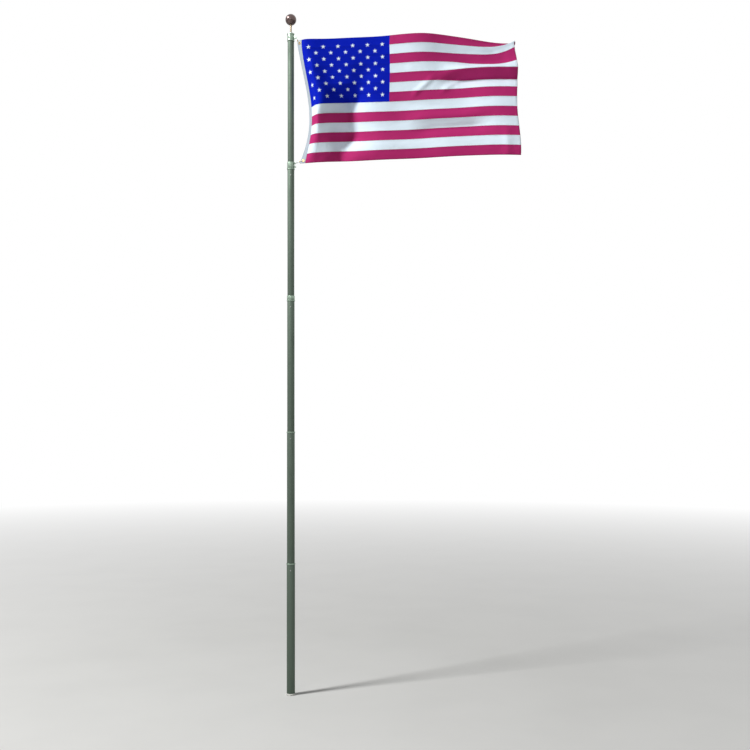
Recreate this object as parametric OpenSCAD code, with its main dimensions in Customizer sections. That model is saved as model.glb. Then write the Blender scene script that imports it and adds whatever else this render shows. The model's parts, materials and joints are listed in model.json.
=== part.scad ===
// A telescoping flagpole of five aluminium tubes with a ball on top and a flag on two swivel rings.
// The origin is on the bottom face, on the pole's axis. +Z is up and +X is the side the flag flies to.
// At rest the pole is fully raised.

/* [Pole] */
// Length of each lower tube that shows when the pole is up
tube_exposed = 914.4; // [700:0.1:1200]
// Outer diameter of the top tube
top_tube_d = 44.45; // [40:0.05:50]
// Wall of every tube
tube_wall = 1.49; // [1:0.01:2.5]
// Radial gap between a tube and the one it slides in
tube_gap = 0.1; // [0.05:0.01:0.3]
// Length of a raised tube that stays inside the next one down
tube_overlap = 88.9; // [75:0.1:140]
// Height of a lowered tube's top above the top of the next one down
nest_step = 106; // [100:1:140]
// Height of the lowered cap's top above the top of the fourth tube
nest_step_cap = 129; // [125:1:160]

/* [Base] */
// Thickness of the bottom plug's flange
plug_flange = 3; // [2:0.5:6]
// Depth of the bottom plug inside the tube
plug_depth = 7; // [4:0.5:7]
// Wall of the bottom plug's skirt
plug_wall = 3; // [2:0.5:8]
// Width of the ground sleeve's wall
sleeve_wall = 3.2; // [2:0.1:8]
// Height of the ground sleeve's rim above the ground
sleeve_h = 12; // [6:1:40]
// Radial gap between the ground sleeve and the pole
sleeve_gap = 0.3; // [0.1:0.05:0.6]

/* [Tube tops] */
// Height of the rim on a tube's top
rim_h = 8; // [5:0.5:12]
// Width of the rim's wall
rim_wall = 3; // [2:0.1:4]
// Diameter of a lock button
button_d = 7.5; // [5:0.1:9]
// Distance from a tube's top down to its lock button
button_drop = 48.5; // [40:0.5:60]
// How far a lock button stands out of its tube
button_out = 2; // [1:0.1:3]
// Radial gap between a lock button and its hole
button_gap = 0.2; // [0.1:0.05:0.4]

/* [Cap and ball] */
// Diameter of the cap
cap_d = 51.5; // [49:0.1:56]
// Height of the cap
cap_h = 12; // [8:0.5:20]
// Radius of the cap's top edge
cap_round = 3; // [1:0.5:4]
// Depth of the cap's plug inside the tube
cap_plug = 20; // [10:1:40]
// Diameter of the rod that carries the ball
rod_d = 12.7; // [9:0.1:16]
// Length of the rod between the nut and the ferrule
rod_exposed = 39; // [20:1:80]
// Width across the flats of the nut
nut_flats = 19; // [16:0.5:24]
// Height of the nut
nut_h = 10; // [5:0.5:14]
// Diameter of the ferrule under the ball
ferrule_d = 16; // [14:0.5:22]
// Height of the ferrule below the ball
ferrule_h = 10.7; // [6:0.1:16]
// Diameter of the ball
ball_d = 76.2; // [60:0.1:110]
// Wall of the ball's two spun halves
ball_wall = 1.6; // [1:0.1:3]
// Gap between pieces that seat in each other
seat_gap = 0.05; // [0.02:0.01:0.1]

/* [Swivel rings] */
// Radial gap between a swivel ring and its tube
ring_gap = 0.1; // [0.05:0.01:0.4]
// End gap under and over a swivel ring
ring_end_gap = 0.3; // [0.1:0.05:0.6]
// Wall of the top ring
top_ring_wall = 1.7; // [1.2:0.1:3]
// Room between the cap and the stop collar for the top ring
top_ring_room = 27; // [20:0.5:40]
// Height of the stop collar
stop_h = 14; // [8:0.5:16]
// Wall of the stop collar
stop_wall = 2.8; // [2:0.1:5]
// Width of the slit in the stop collar
stop_slit = 2; // [1:0.1:4]
// Wall of the middle ring
middle_ring_wall = 3.2; // [2:0.1:5]
// Height of the middle ring
middle_ring_h = 44; // [36:0.5:50]
// Wall of the spare ring
spare_ring_wall = 3.1; // [2:0.1:5]
// Height of the spare ring
spare_ring_h = 29; // [20:0.5:34]
// Thickness of the ears on the rings
ear_t = 3; // [2:0.1:4]
// Diameter of the holes in the ears
ear_hole_d = 6.5; // [5.5:0.1:7.5]
// Distance the top ring's ear stands out
top_ear_out = 24; // [20:0.5:34]
// Height of the top ring's ear
top_ear_h = 22; // [18:0.5:26]
// Distance from the top ring to the hole in its ear
top_ear_hole_out = 11; // [9:0.5:14]
// Radius of the round ears on the middle and spare rings
round_ear_r = 7; // [6:0.1:9]
// Distance between the two round ears of the middle ring
round_ear_pitch = 25; // [20:0.5:30]
// Distance from the spare ring to the hole in its ear
spare_ear_hole_out = 15; // [14:0.5:20]
// Diameter of the rivet head opposite each ear
rivet_d = 7; // [4:0.5:9]
// Height of the rivet head
rivet_h = 2; // [1:0.1:3]
// Azimuth of the top ring's ear and of the snap hook it carries
upper_azimuth = -30; // [-45:1:-20]
// Azimuth of the middle ring's ears and of the snap hook they carry
lower_azimuth = -18; // [-30:1:0]

/* [Snap hooks] */
// Length from the hole in an ear to the grommet
snap_length = 62; // [60:1:72]
// Diameter of the hook's wire
hook_wire = 3.4; // [2.6:0.1:3.8]
// Radius of the hook's bend
hook_bend = 6; // [5.5:0.1:7]
// Height of the hook's tip above the middle of the bend's bottom
tip_h = 11; // [10:0.5:13]
// Length of the gate
gate_length = 18; // [14:0.5:19]
// Diameter of the gate
gate_d = 2.6; // [2:0.1:3.2]
// Diameter of the hook's barrel
barrel_d = 8; // [7:0.1:10]
// Diameter of the eye's wire
eye_wire = 2.6; // [2:0.1:3]
// Radius of the eye's middle line
eye_r = 7; // [6.5:0.1:8]
// Elevation of the upper snap hook, from the ear to the grommet
upper_elevation = -52; // [-60:1:-45]
// Elevation of the lower snap hook, from the ear to the grommet
lower_elevation = 13; // [0:1:25]

/* [Flag] */
// Height of the flag along its hoist
flag_hoist = 870; // [850:1:890]
// Length of the flag from hoist to fly
flag_fly = 1536; // [1000:1:1800]
// Thickness the cloth is modelled with
cloth_t = 2; // [1.6:0.1:4]
// Width of the heading along the hoist
heading_w = 38; // [32:0.5:50]
// Thickness the heading is modelled with
heading_t = 3; // [2:0.1:4]
// Gap between the heading and the cloth
seam_gap = 0.3; // [0.1:0.05:0.5]
// Outer diameter of a grommet
grommet_d = 19.5; // [17:0.1:22]
// Diameter of a grommet's hole
grommet_hole_d = 9; // [8.5:0.1:11]
// Thickness of a grommet
grommet_t = 4; // [3.2:0.1:5]
// Distance from the flag's upper or lower edge to a grommet
grommet_inset = 20; // [18:0.5:30]
// How far the hoist bows towards the fly
hoist_bow = 60; // [20:1:90]
// How far the middle of the hoist stands back from its ends
hoist_belly = 30; // [0:1:60]
// Direction the heading leaves the hoist in
heading_azimuth = -60; // [-75:1:-40]
// Direction the flag flies in
fly_azimuth = -4.3; // [-20:0.1:5]

/* [Hidden] */
$fn = 64;
ALUMINIUM = [0.72, 0.78, 0.74];
BRASS = [0.72, 0.56, 0.22];
STEEL = [0.78, 0.79, 0.78];
// How far a cut reaches past what it cuts
EPS = 0.5;
// Chamfer on small edges
EDGE = 0.8;

// Length of the rod inside the ball
ROD_END = 6;
// Height of the lip inside the ball's seam, on each side of it
LIP_H = 4;
LIP_SLACK = 0.3;
// Distance from a ring's lower edge up to its rivet
RIVET_UP = 2;

// Tube 1 is the bottom tube and tube 5 the top one.
TOP = 5;
function tube_r(i) = top_tube_d / 2 + (TOP - i) * (tube_wall + tube_gap);
function tube_in_r(i) = tube_r(i) - tube_wall;
travel = tube_exposed - nest_step;
cap_top = (TOP - 1) * tube_exposed + travel + nest_step_cap;
cap_bottom = cap_top - cap_h;
function tube_top(i) = i == TOP ? cap_bottom : i * tube_exposed;
function tube_bottom(i) = i == 1 ? plug_flange : (i - 1) * tube_exposed - tube_overlap;

// How far the top ring's ear reaches down beside the stop collar
TOP_EAR_BELOW = 2;
// Radial space between that ear and the stop collar
STOP_SPACE = 1;
// Half height of a round ear's neck, as a share of the ear's radius
EAR_NECK = 0.7;
stop_top = cap_bottom - top_ring_room;
top_ring_r = tube_r(TOP) + ring_gap + top_ring_wall;
top_ring_h = top_ring_room - 2 * ring_end_gap;
top_ear_z = stop_top + top_ear_h / 2 - TOP_EAR_BELOW;
middle_ring_r = tube_r(TOP) + ring_gap + middle_ring_wall;
middle_ring_z = tube_top(4) + ring_end_gap;
middle_ear_z = middle_ring_z + middle_ring_h / 2 + round_ear_pitch / 2;
spare_ring_r = tube_r(4) + ring_gap + spare_ring_wall;
spare_ring_z = tube_top(3) + ring_end_gap;
spare_ear_z = spare_ring_z + spare_ring_h / 2;

nut_top = cap_top + nut_h;
ferrule_z = nut_top + rod_exposed;
ball_r = ball_d / 2;
ball_seat = ball_r - sqrt(pow(ball_r, 2) - pow(ferrule_d / 2 + seat_gap, 2));
ball_z = ferrule_z + ferrule_h + ball_r;

// A unit vector from an azimuth and an elevation
function heading_to(azimuth, elevation) =
    [cos(elevation) * cos(azimuth), cos(elevation) * sin(azimuth), sin(elevation)];
function unit(v) = v / norm(v);
function flat_to(v, n) = unit(v - (v * n) * n);

upper_eye = [
    (top_ring_r + top_ear_hole_out) * cos(upper_azimuth),
    (top_ring_r + top_ear_hole_out) * sin(upper_azimuth),
    top_ear_z
];
lower_eye = [
    (middle_ring_r + round_ear_r) * cos(lower_azimuth),
    (middle_ring_r + round_ear_r) * sin(lower_azimuth),
    middle_ear_z
];
spare_eye = [0, spare_ring_r + spare_ear_hole_out, spare_ear_z];
upper_pull = heading_to(upper_azimuth, upper_elevation);
lower_pull = heading_to(lower_azimuth, lower_elevation);
upper_grommet_at = upper_eye + snap_length * upper_pull;
lower_grommet_at = lower_eye + snap_length * lower_pull;

// The flag is swept by threads that start on the hoist. v runs down the hoist from 0 to 1, s runs along
// a thread from the hoist in millimetres, and a thread turns its azimuth as it goes.
GROMMET_S = heading_w / 2;
GROMMET_V = grommet_inset / flag_hoist;
THREAD_STEPS = 60;
THREAD_ROWS = 36;
UPPER_TURN = 30;
LOWER_TURN = 50;
CORNER_POWER = 10;
BOW_POWER = 1.35;
// The cloth leaves the heading straight for SEAM_RUN, and turns into the wind over TURN_LENGTH.
SEAM_RUN = 4;
TURN_LENGTH = 30;
// In the middle of the hoist the cloth stays near the heading's line for longer: the added run, the angle
// it eases forward by over POCKET_EASE, the place down the hoist and the width.
POCKET = [60, 7.3, 0.49, 0.28];
POCKET_EASE = 60;
// Small ripples take up a share of the threads: the share, its place along the thread and its reach, its
// place down the hoist and its width.
SLACK = [0.11, 456, 294, 0.64, 0.31];
// The lower edge flies FLY_LEAN further to the front than the upper one, and the threads fan out by
// FLY_FAN.
FLY_LEAN = -3.6;
FLY_RISE = 3.2;
FLY_FAN = 1.6;
// The fly end droops by an angle over a reach.
FLY_DROOP = [-3.8, 320];
// Each wave is an angle, a length along the thread, a lean down the hoist and a phase. It is calmer by
// WAVE_CALM at the lower edge.
WAVES = [[5, 900, 0.3, 70], [4.6, 430, -0.5, 35]];
WAVE_CALM = 0.5;
// A fold near the hoist: its angle, its place along the thread, its width below and its added width above
NEAR_FOLD = [8, 250, 110, 150];
// A broad fold across the middle: its angle, its place along the thread and its reach, its place down the
// hoist and its width
MIDDLE_FOLD = [9, 420, 165, 0.5, 0.4];
// The upper fly corner folds from CORNER_START on. A ridge turns back, the upper edge sinks and curls
// back, and the tip turns up again. The ridge is an angle, a place down the hoist and a width, the sink and
// the curl are an angle and a reach down the hoist, the tip and its flick are an angle, a reach from the fly
// end, a place down the hoist and a width.
CORNER_START = 850;
CORNER_RIDGE = [12.4, 0.15, 0.13];
CORNER_SINK = [-7.6, 0.18];
CORNER_CURL = [12.2, 0.06];
CORNER_TIP = [25, 200, 0.11, 0.055];
CORNER_FLICK = [23.2, 132, 0.194, 0.056];

function hoist_at(v) = let(t = (v - GROMMET_V) / (1 - 2 * GROMMET_V))
    upper_grommet_at + (lower_grommet_at - upper_grommet_at) * t
    + [hoist_bow * sin(180 * pow(max(t, 0), BOW_POWER)), hoist_belly * sin(180 * t), 0];
function heading_turn(v) =
    heading_azimuth + UPPER_TURN * pow(1 - v, CORNER_POWER) + LOWER_TURN * pow(v, CORNER_POWER);
function bell(x) = exp(-x * x);
function corner(s) = s < CORNER_START ? 0
    : sin(180 * (s - CORNER_START) / (flag_fly - CORNER_START));
function wave_turn(s, v, k) = WAVES[k][0] * (1 - WAVE_CALM * v)
    * sin(360 * (s / WAVES[k][1] + WAVES[k][2] * v) + WAVES[k][3]);
function fly_turn(s, v) = fly_azimuth + FLY_LEAN * (v - 0.5)
    + NEAR_FOLD[0] * bell((s - NEAR_FOLD[1]) / (NEAR_FOLD[2] + NEAR_FOLD[3] * (1 - v)))
    + MIDDLE_FOLD[0] * bell((s - MIDDLE_FOLD[1]) / MIDDLE_FOLD[2])
    * bell((v - MIDDLE_FOLD[3]) / MIDDLE_FOLD[4])
    + wave_turn(s, v, 0) + wave_turn(s, v, 1)
    + CORNER_RIDGE[0] * corner(s) * bell((v - CORNER_RIDGE[1]) / CORNER_RIDGE[2])
    + CORNER_CURL[0] * corner(s) * bell(v / CORNER_CURL[1]);
function pocket(v) = bell((v - POCKET[2]) / POCKET[3]);
function eased_turn(s, v) = heading_turn(v)
    + POCKET[1] * pocket(v) * min(max((s - heading_w) / POCKET_EASE, 0), 1);
function thread_azimuth(s, v) = let(
    past = s - heading_w - SEAM_RUN - POCKET[0] * pocket(v),
    rest = exp(-max(past, 0) / TURN_LENGTH)
) eased_turn(s, v) * rest + fly_turn(s, v) * (1 - rest);
function end_lift(s, v, lift) = lift[0] * bell((s - flag_fly) / lift[1]) * bell((v - lift[2]) / lift[3]);
function thread_elevation(s, v) = s < heading_w + SEAM_RUN ? 0 : FLY_RISE - FLY_FAN * v
    + FLY_DROOP[0] * bell((s - flag_fly) / FLY_DROOP[1])
    + CORNER_SINK[0] * corner(s) * bell(v / CORNER_SINK[1])
    + end_lift(s, v, CORNER_TIP) + end_lift(s, v, CORNER_FLICK);
function thread_share(s, v) =
    1 - SLACK[0] * bell((s - SLACK[1]) / SLACK[2]) * bell((v - SLACK[3]) / SLACK[4]);
function hoist_edge(v) = hoist_at(v) - GROMMET_S * heading_to(heading_turn(v), 0);
function straight(v, s) = hoist_edge(v) + s * heading_to(heading_turn(v), 0);
function thread(v, from, step, n) = [
    for (
        i = 0, p = straight(v, from), s = from + step / 2;
        i <= n;
        p = p + step * thread_share(s, v) * heading_to(thread_azimuth(s, v), thread_elevation(s, v)),
        s = s + step,
        i = i + 1
    ) p
];

// The normal of a grid at column i and row j
function grid_normal(g, i, j) = let(
    n = len(g[0]) - 1,
    m = len(g) - 1,
    along = g[j][min(i + 1, n)] - g[j][max(i - 1, 0)],
    down = g[min(j + 1, m)][i] - g[max(j - 1, 0)][i]
) unit(cross(along, down));

// A closed sheet of thickness t around a grid of points
module sheet(g, t) {
    n = len(g[0]) - 1;
    m = len(g) - 1;
    layer = (n + 1) * (m + 1);
    points = [
        for (side = [0.5, -0.5], j = [0 : m], i = [0 : n]) g[j][i] + side * t * grid_normal(g, i, j)
    ];
    function at(i, j, k) = k * layer + j * (n + 1) + i;
    faces = concat(
        [for (j = [0 : m - 1], i = [0 : n - 1]) each [
            [at(i, j, 1), at(i + 1, j, 1), at(i + 1, j + 1, 1)],
            [at(i, j, 1), at(i + 1, j + 1, 1), at(i, j + 1, 1)],
            [at(i, j, 0), at(i + 1, j + 1, 0), at(i + 1, j, 0)],
            [at(i, j, 0), at(i, j + 1, 0), at(i + 1, j + 1, 0)]
        ]],
        [for (i = [0 : n - 1]) each [
            [at(i, 0, 0), at(i + 1, 0, 0), at(i + 1, 0, 1)],
            [at(i, 0, 0), at(i + 1, 0, 1), at(i, 0, 1)],
            [at(i, m, 0), at(i, m, 1), at(i + 1, m, 1)],
            [at(i, m, 0), at(i + 1, m, 1), at(i + 1, m, 0)]
        ]],
        [for (j = [0 : m - 1]) each [
            [at(0, j, 0), at(0, j, 1), at(0, j + 1, 1)],
            [at(0, j, 0), at(0, j + 1, 1), at(0, j + 1, 0)],
            [at(n, j, 0), at(n, j + 1, 0), at(n, j + 1, 1)],
            [at(n, j, 0), at(n, j + 1, 1), at(n, j, 1)]
        ]]
    );
    polyhedron(points, faces, convexity = 6);
}

// A ring of inner radius r_in and outer radius r_out from z up to z + h
module ring(r_in, r_out, z, h) {
    translate([0, 0, z]) difference() {
        cylinder(r = r_out, h = h);
        translate([0, 0, -EPS]) cylinder(r = r_in, h = h + 2 * EPS);
    }
}

// A cylinder along Y through a point
module across(r, h, at) {
    translate(at) rotate([90, 0, 0]) cylinder(r = r, h = h, center = true);
}

// Children placed with their z axis along up and their x axis nearest to side
module placed(at, up, side) {
    x = flat_to(side, up);
    y = cross(up, x);
    multmatrix([
        [x[0], y[0], up[0], at[0]],
        [x[1], y[1], up[1], at[1]],
        [x[2], y[2], up[2], at[2]],
        [0, 0, 0, 1]
    ]) children();
}

module pole_tube(i) {
    color(ALUMINIUM) difference() {
        ring(tube_in_r(i), tube_r(i), tube_bottom(i), tube_top(i) - tube_bottom(i));
        if (i < TOP) across_front(i) cylinder(d = button_d + 2 * button_gap, h = tube_r(i));
    }
}

// Children placed at a tube's lock button, with z pointing out of the tube
module across_front(i) {
    translate([0, 0, tube_top(i) - button_drop]) rotate([90, 0, 0]) children();
}

module tube_rim(i) {
    r = tube_r(i) + seat_gap;
    out = r + rim_wall;
    color(ALUMINIUM) translate([0, 0, tube_top(i) - rim_h]) rotate_extrude($fn = 96) polygon([
        [r, 0], [out - EDGE, 0], [out, EDGE], [out, rim_h - EDGE], [out - EDGE, rim_h], [r, rim_h]
    ]);
}

module lock_button(i) {
    from = tube_in_r(i) + seat_gap;
    to = tube_r(i) + button_out;
    color(STEEL) across_front(i) rotate_extrude() polygon([
        [0, from], [button_d / 2, from], [button_d / 2, to - EDGE], [button_d / 2 - EDGE, to], [0, to]
    ]);
}

module bottom_tube() { pole_tube(1); }
module second_tube() { pole_tube(2); }
module third_tube() { pole_tube(3); }
module fourth_tube() { pole_tube(4); }
module top_tube() { pole_tube(TOP); }
module bottom_tube_rim() { tube_rim(1); }
module second_tube_rim() { tube_rim(2); }
module third_tube_rim() { tube_rim(3); }
module fourth_tube_rim() { tube_rim(4); }
module bottom_lock_button() { lock_button(1); }
module second_lock_button() { lock_button(2); }
module third_lock_button() { lock_button(3); }
module fourth_lock_button() { lock_button(4); }

// The plug that closes the bottom tube, with the face that the pole stands on
module bottom_plug() {
    skirt_r = tube_in_r(1) - seat_gap;
    color([0.2, 0.2, 0.2]) {
        cylinder(r = tube_r(1), h = plug_flange);
        ring(skirt_r - plug_wall, skirt_r, plug_flange - EPS, plug_depth + EPS);
    }
}

module ground_sleeve_rim() {
    r = tube_r(1) + sleeve_gap;
    out = r + sleeve_wall;
    color([0.85, 0.85, 0.83]) rotate_extrude($fn = 96) polygon([
        [r, 0], [out, 0], [out, sleeve_h - EDGE], [out - EDGE, sleeve_h], [r, sleeve_h]
    ]);
}

module stop_collar() {
    r = tube_r(TOP) + seat_gap;
    color(ALUMINIUM) difference() {
        ring(r, r + stop_wall, stop_top - stop_h, stop_h);
        rotate([0, 0, 180 + upper_azimuth])
            translate([0, -stop_slit / 2, stop_top - stop_h - EPS])
            cube([r + stop_wall + EPS, stop_slit, stop_h + 2 * EPS]);
    }
}

module cap() {
    plug_r = tube_in_r(TOP) - seat_gap;
    color(ALUMINIUM) difference() {
        union() {
            translate([0, 0, cap_bottom]) rotate_extrude($fn = 96) {
                square([cap_d / 2 - cap_round, cap_h]);
                square([cap_d / 2, cap_h - cap_round]);
                translate([cap_d / 2 - cap_round, cap_h - cap_round]) intersection() {
                    circle(r = cap_round, $fn = 32);
                    square(cap_round);
                }
            }
            translate([0, 0, cap_bottom - cap_plug]) cylinder(r = plug_r, h = cap_plug + EPS);
        }
        translate([0, 0, cap_bottom - cap_plug - EPS])
            cylinder(d = rod_d + 2 * seat_gap, h = cap_plug + cap_h + 2 * EPS);
    }
}

module ball_nut() {
    color(STEEL) translate([0, 0, cap_top]) difference() {
        cylinder(r = nut_flats / sqrt(3), h = nut_h, $fn = 6);
        translate([0, 0, -EPS]) cylinder(d = rod_d + 2 * seat_gap, h = nut_h + 2 * EPS);
    }
}

// The rod runs from inside the cap up into the ball, ROD_END past the ball's wall
module ball_rod() {
    color(BRASS) translate([0, 0, cap_bottom])
        cylinder(d = rod_d, h = cap_h + nut_h + rod_exposed + ferrule_h + ball_wall + ROD_END);
}

// The ferrule ends in the hole of the ball's lower half
module ball_ferrule() {
    color(BRASS) ring(rod_d / 2 + seat_gap, ferrule_d / 2, ferrule_z, ferrule_h + ball_seat);
}

module ball_lower_half() {
    color([0.62, 0.5, 0.16]) translate([0, 0, ball_z]) rotate_extrude($fn = 96) difference() {
        intersection() {
            difference() {
                circle(r = ball_r, $fn = 128);
                circle(r = ball_r - ball_wall, $fn = 128);
            }
            translate([0, -ball_r]) square([ball_r, ball_r]);
        }
        translate([0, -ball_r]) square([ferrule_d / 2 + seat_gap, ball_r / 2]);
    }
}

// The upper half has a lip that sits inside the lower half
module ball_upper_half() {
    in_r = ball_r - ball_wall;
    lip_r = in_r - seat_gap;
    lip_in = lip_r - ball_wall;
    color([0.78, 0.7, 0.42]) translate([0, 0, ball_z]) rotate_extrude($fn = 96) {
        difference() {
            intersection() {
                circle(r = ball_r, $fn = 128);
                square([ball_r, ball_r]);
            }
            circle(r = in_r, $fn = 128);
        }
        translate([lip_in, 0]) square([ball_wall + 2 * seat_gap, LIP_H]);
        translate([lip_in, -LIP_H]) square([ball_wall - LIP_SLACK, LIP_H + EPS]);
    }
}

// A rivet head opposite the ear, RIVET_UP above the lower edge of a ring that starts at z
module rivet(r, z) {
    translate([0, 0, z + RIVET_UP + rivet_d / 2]) rotate([0, -90, 0])
        cylinder(d = rivet_d, h = r + rivet_h);
}

module top_swivel_ring() {
    r_in = tube_r(TOP) + ring_gap;
    color(ALUMINIUM) rotate([0, 0, upper_azimuth]) difference() {
        union() {
            translate([0, 0, stop_top + ring_end_gap]) cylinder(r = top_ring_r, h = top_ring_h);
            translate([0, -ear_t / 2, top_ear_z - top_ear_h / 2])
                cube([top_ring_r + top_ear_out, ear_t, top_ear_h]);
            rivet(top_ring_r, stop_top + ring_end_gap);
        }
        translate([0, 0, stop_top - top_ear_h]) {
            cylinder(r = r_in, h = top_ring_h + 2 * top_ear_h);
            cylinder(r = tube_r(TOP) + stop_wall + STOP_SPACE, h = top_ear_h + ring_end_gap);
        }
        across(ear_hole_d / 2, 2 * ear_t, [top_ring_r + top_ear_hole_out, 0, top_ear_z]);
    }
}

// A round ear on a neck, with its middle at distance out from the axis
module round_ear(out, z) {
    across(round_ear_r, ear_t, [out, 0, z]);
    neck = EAR_NECK * round_ear_r;
    translate([0, -ear_t / 2, z - neck]) cube([out, ear_t, 2 * neck]);
}

module middle_swivel_ring() {
    out = middle_ring_r + round_ear_r;
    chamfer = 2;
    color(ALUMINIUM) rotate([0, 0, lower_azimuth]) difference() {
        union() {
            translate([0, 0, middle_ring_z]) cylinder(r = middle_ring_r, h = middle_ring_h - chamfer);
            translate([0, 0, middle_ring_z + middle_ring_h - chamfer])
                cylinder(r1 = middle_ring_r, r2 = middle_ring_r - chamfer, h = chamfer);
            round_ear(out, middle_ear_z);
            round_ear(out, middle_ear_z - round_ear_pitch);
            rivet(middle_ring_r, middle_ring_z);
        }
        translate([0, 0, middle_ring_z - EPS])
            cylinder(r = tube_r(TOP) + ring_gap, h = middle_ring_h + 2 * EPS);
        across(ear_hole_d / 2, 2 * ear_t, [out, 0, middle_ear_z]);
        across(ear_hole_d / 2, 2 * ear_t, [out, 0, middle_ear_z - round_ear_pitch]);
    }
}

// The spare ring's ear points away from the front
module spare_swivel_ring() {
    out = spare_ring_r + spare_ear_hole_out;
    color(ALUMINIUM) rotate([0, 0, 90]) difference() {
        union() {
            translate([0, 0, spare_ring_z]) cylinder(r = spare_ring_r, h = spare_ring_h);
            round_ear(out, spare_ear_z);
            rivet(spare_ring_r, spare_ring_z);
        }
        translate([0, 0, spare_ring_z - EPS])
            cylinder(r = tube_r(4) + ring_gap, h = spare_ring_h + 2 * EPS);
        across(ear_hole_d / 2, 2 * ear_t, [out, 0, spare_ear_z]);
    }
}

// A snap hook stands on the middle of its bend's bottom, with the barrel up its z axis and the bend in its
// xz plane. Its parts take their heights from here.
gate_top = tip_h + gate_length;
snap_gap = 0.3;
barrel_z = gate_top + snap_gap;
gate_knuckle_wall = 0.6;
gate_knuckle_r = gate_d / 2 + gate_knuckle_wall;
gate_knuckle_w = 4.4;
gate_pivot_z = gate_top - gate_knuckle_r;
// Play between the eye's wire and the edge of the ear's hole
eye_play = 0.4;
eye_slack = (ear_hole_d - eye_wire) / 2 - eye_play;
eye_z = snap_length - eye_slack - eye_r;
shank_d = 3;
head_d = 5;
head_h = 2;
shoulder_t = 4;
shoulder_h = 4;
shoulder_out = 1;
// Bare length of the shank between the barrel and the eye
shank_bare = 1.5;
barrel_h = eye_z - eye_r - eye_wire / 2 - shank_bare - barrel_z;
barrel_floor = 2;
socket_depth = barrel_h - barrel_floor;
head_z = barrel_z + barrel_h - socket_depth + snap_gap;

module hook_bend_shape() {
    translate([0, 0, hook_bend]) rotate([90, 0, 0]) rotate([0, 0, 180]) rotate_extrude(angle = 180)
        translate([hook_bend, 0]) circle(d = hook_wire, $fn = 32);
}

module snap_hook() {
    shoulder_w = 2 * (hook_bend + shoulder_out);
    color(STEEL) difference() {
        union() {
            hook_bend_shape();
            translate([hook_bend, 0, hook_bend]) cylinder(d = hook_wire, h = barrel_z - hook_bend);
            translate([-hook_bend, 0, hook_bend]) cylinder(d = hook_wire, h = tip_h - hook_bend - snap_gap);
            translate([0, 0, barrel_z]) cylinder(d = barrel_d, h = barrel_h);
            translate([-shoulder_w / 2, -shoulder_t / 2, barrel_z])
                cube([shoulder_w, shoulder_t, shoulder_h]);
        }
        translate([0, 0, barrel_z + barrel_h - socket_depth]) {
            cylinder(d = shank_d + 2 * snap_gap, h = socket_depth + EPS);
            cylinder(d = head_d + 2 * snap_gap, h = head_h + 2 * snap_gap);
        }
    }
}

// The eye turns on a headed shank in the barrel
module snap_eye() {
    color(STEEL) {
        translate([0, 0, eye_z]) rotate([90, 0, 0]) rotate_extrude()
            translate([eye_r, 0]) circle(d = eye_wire, $fn = 32);
        translate([0, 0, head_z]) {
            cylinder(d = head_d, h = head_h);
            cylinder(d = shank_d, h = eye_z - eye_r - head_z);
        }
    }
}

// The gate closes the hook between its tip and the barrel
module snap_gate() {
    color(BRASS) {
        translate([-hook_bend, 0, tip_h]) cylinder(d = gate_d, h = gate_length - gate_knuckle_r);
        across(gate_knuckle_r, gate_knuckle_w, [-hook_bend, 0, gate_pivot_z]);
    }
}

// A snap hook's frame at a grommet, pulled from an eye, with its bend through the grommet
module at_snap(grommet_at, pull, side) { placed(grommet_at, -pull, side) children(); }

function frame_at(v) = let(
    along = heading_to(heading_turn(v), 0),
    down = unit(hoist_at(v + 0.01) - hoist_at(v - 0.01))
) [along, down, unit(cross(along, down))];
upper_frame = frame_at(GROMMET_V);
lower_frame = frame_at(1 - GROMMET_V);

module upper_snap_hook() { at_snap(upper_grommet_at, upper_pull, upper_frame[2]) snap_hook(); }
module upper_snap_gate() { at_snap(upper_grommet_at, upper_pull, upper_frame[2]) snap_gate(); }
module upper_snap_eye() {
    at_snap(upper_grommet_at, upper_pull, [-sin(upper_azimuth), cos(upper_azimuth), 0]) snap_eye();
}
module lower_snap_hook() { at_snap(lower_grommet_at, lower_pull, lower_frame[2]) snap_hook(); }
module lower_snap_gate() { at_snap(lower_grommet_at, lower_pull, lower_frame[2]) snap_gate(); }
module lower_snap_eye() {
    at_snap(lower_grommet_at, lower_pull, [-sin(lower_azimuth), cos(lower_azimuth), 0]) snap_eye();
}

// The spare snap hook hangs from its ear behind the pole
module at_spare() { at_snap(spare_eye - [0, 0, snap_length], [0, 0, -1], [1, 0, 0]) children(); }
module spare_snap_hook() { at_spare() snap_hook(); }
module spare_snap_gate() { at_spare() snap_gate(); }
module spare_snap_eye() { at_spare() snap_eye(); }

module grommet(at, frame) {
    color(BRASS) placed(at, frame[2], frame[0]) translate([0, 0, -grommet_t / 2])
        ring(grommet_hole_d / 2, grommet_d / 2, 0, grommet_t);
}
module upper_grommet() { grommet(upper_grommet_at, upper_frame); }
module lower_grommet() { grommet(lower_grommet_at, lower_frame); }

module grommet_hole(at, frame) {
    placed(at, frame[2], frame[0])
        cylinder(d = grommet_d + 2 * seam_gap, h = 4 * heading_t, center = true);
}

module flag_heading() {
    color([0.92, 0.94, 0.9]) difference() {
        sheet([
            for (j = [0 : THREAD_ROWS], v = j / THREAD_ROWS)
                [straight(v, 0), straight(v, heading_w - seam_gap)]
        ], heading_t);
        grommet_hole(upper_grommet_at, upper_frame);
        grommet_hole(lower_grommet_at, lower_frame);
    }
}

module flag_field() {
    from = heading_w + SEAM_RUN;
    step = (flag_fly - from) / THREAD_STEPS;
    color([0.7, 0.16, 0.3]) sheet([
        for (j = [0 : THREAD_ROWS], v = j / THREAD_ROWS) [
            straight(v, heading_w),
            each thread(v, from, step, THREAD_STEPS)
        ]
    ], cloth_t);
}

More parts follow.
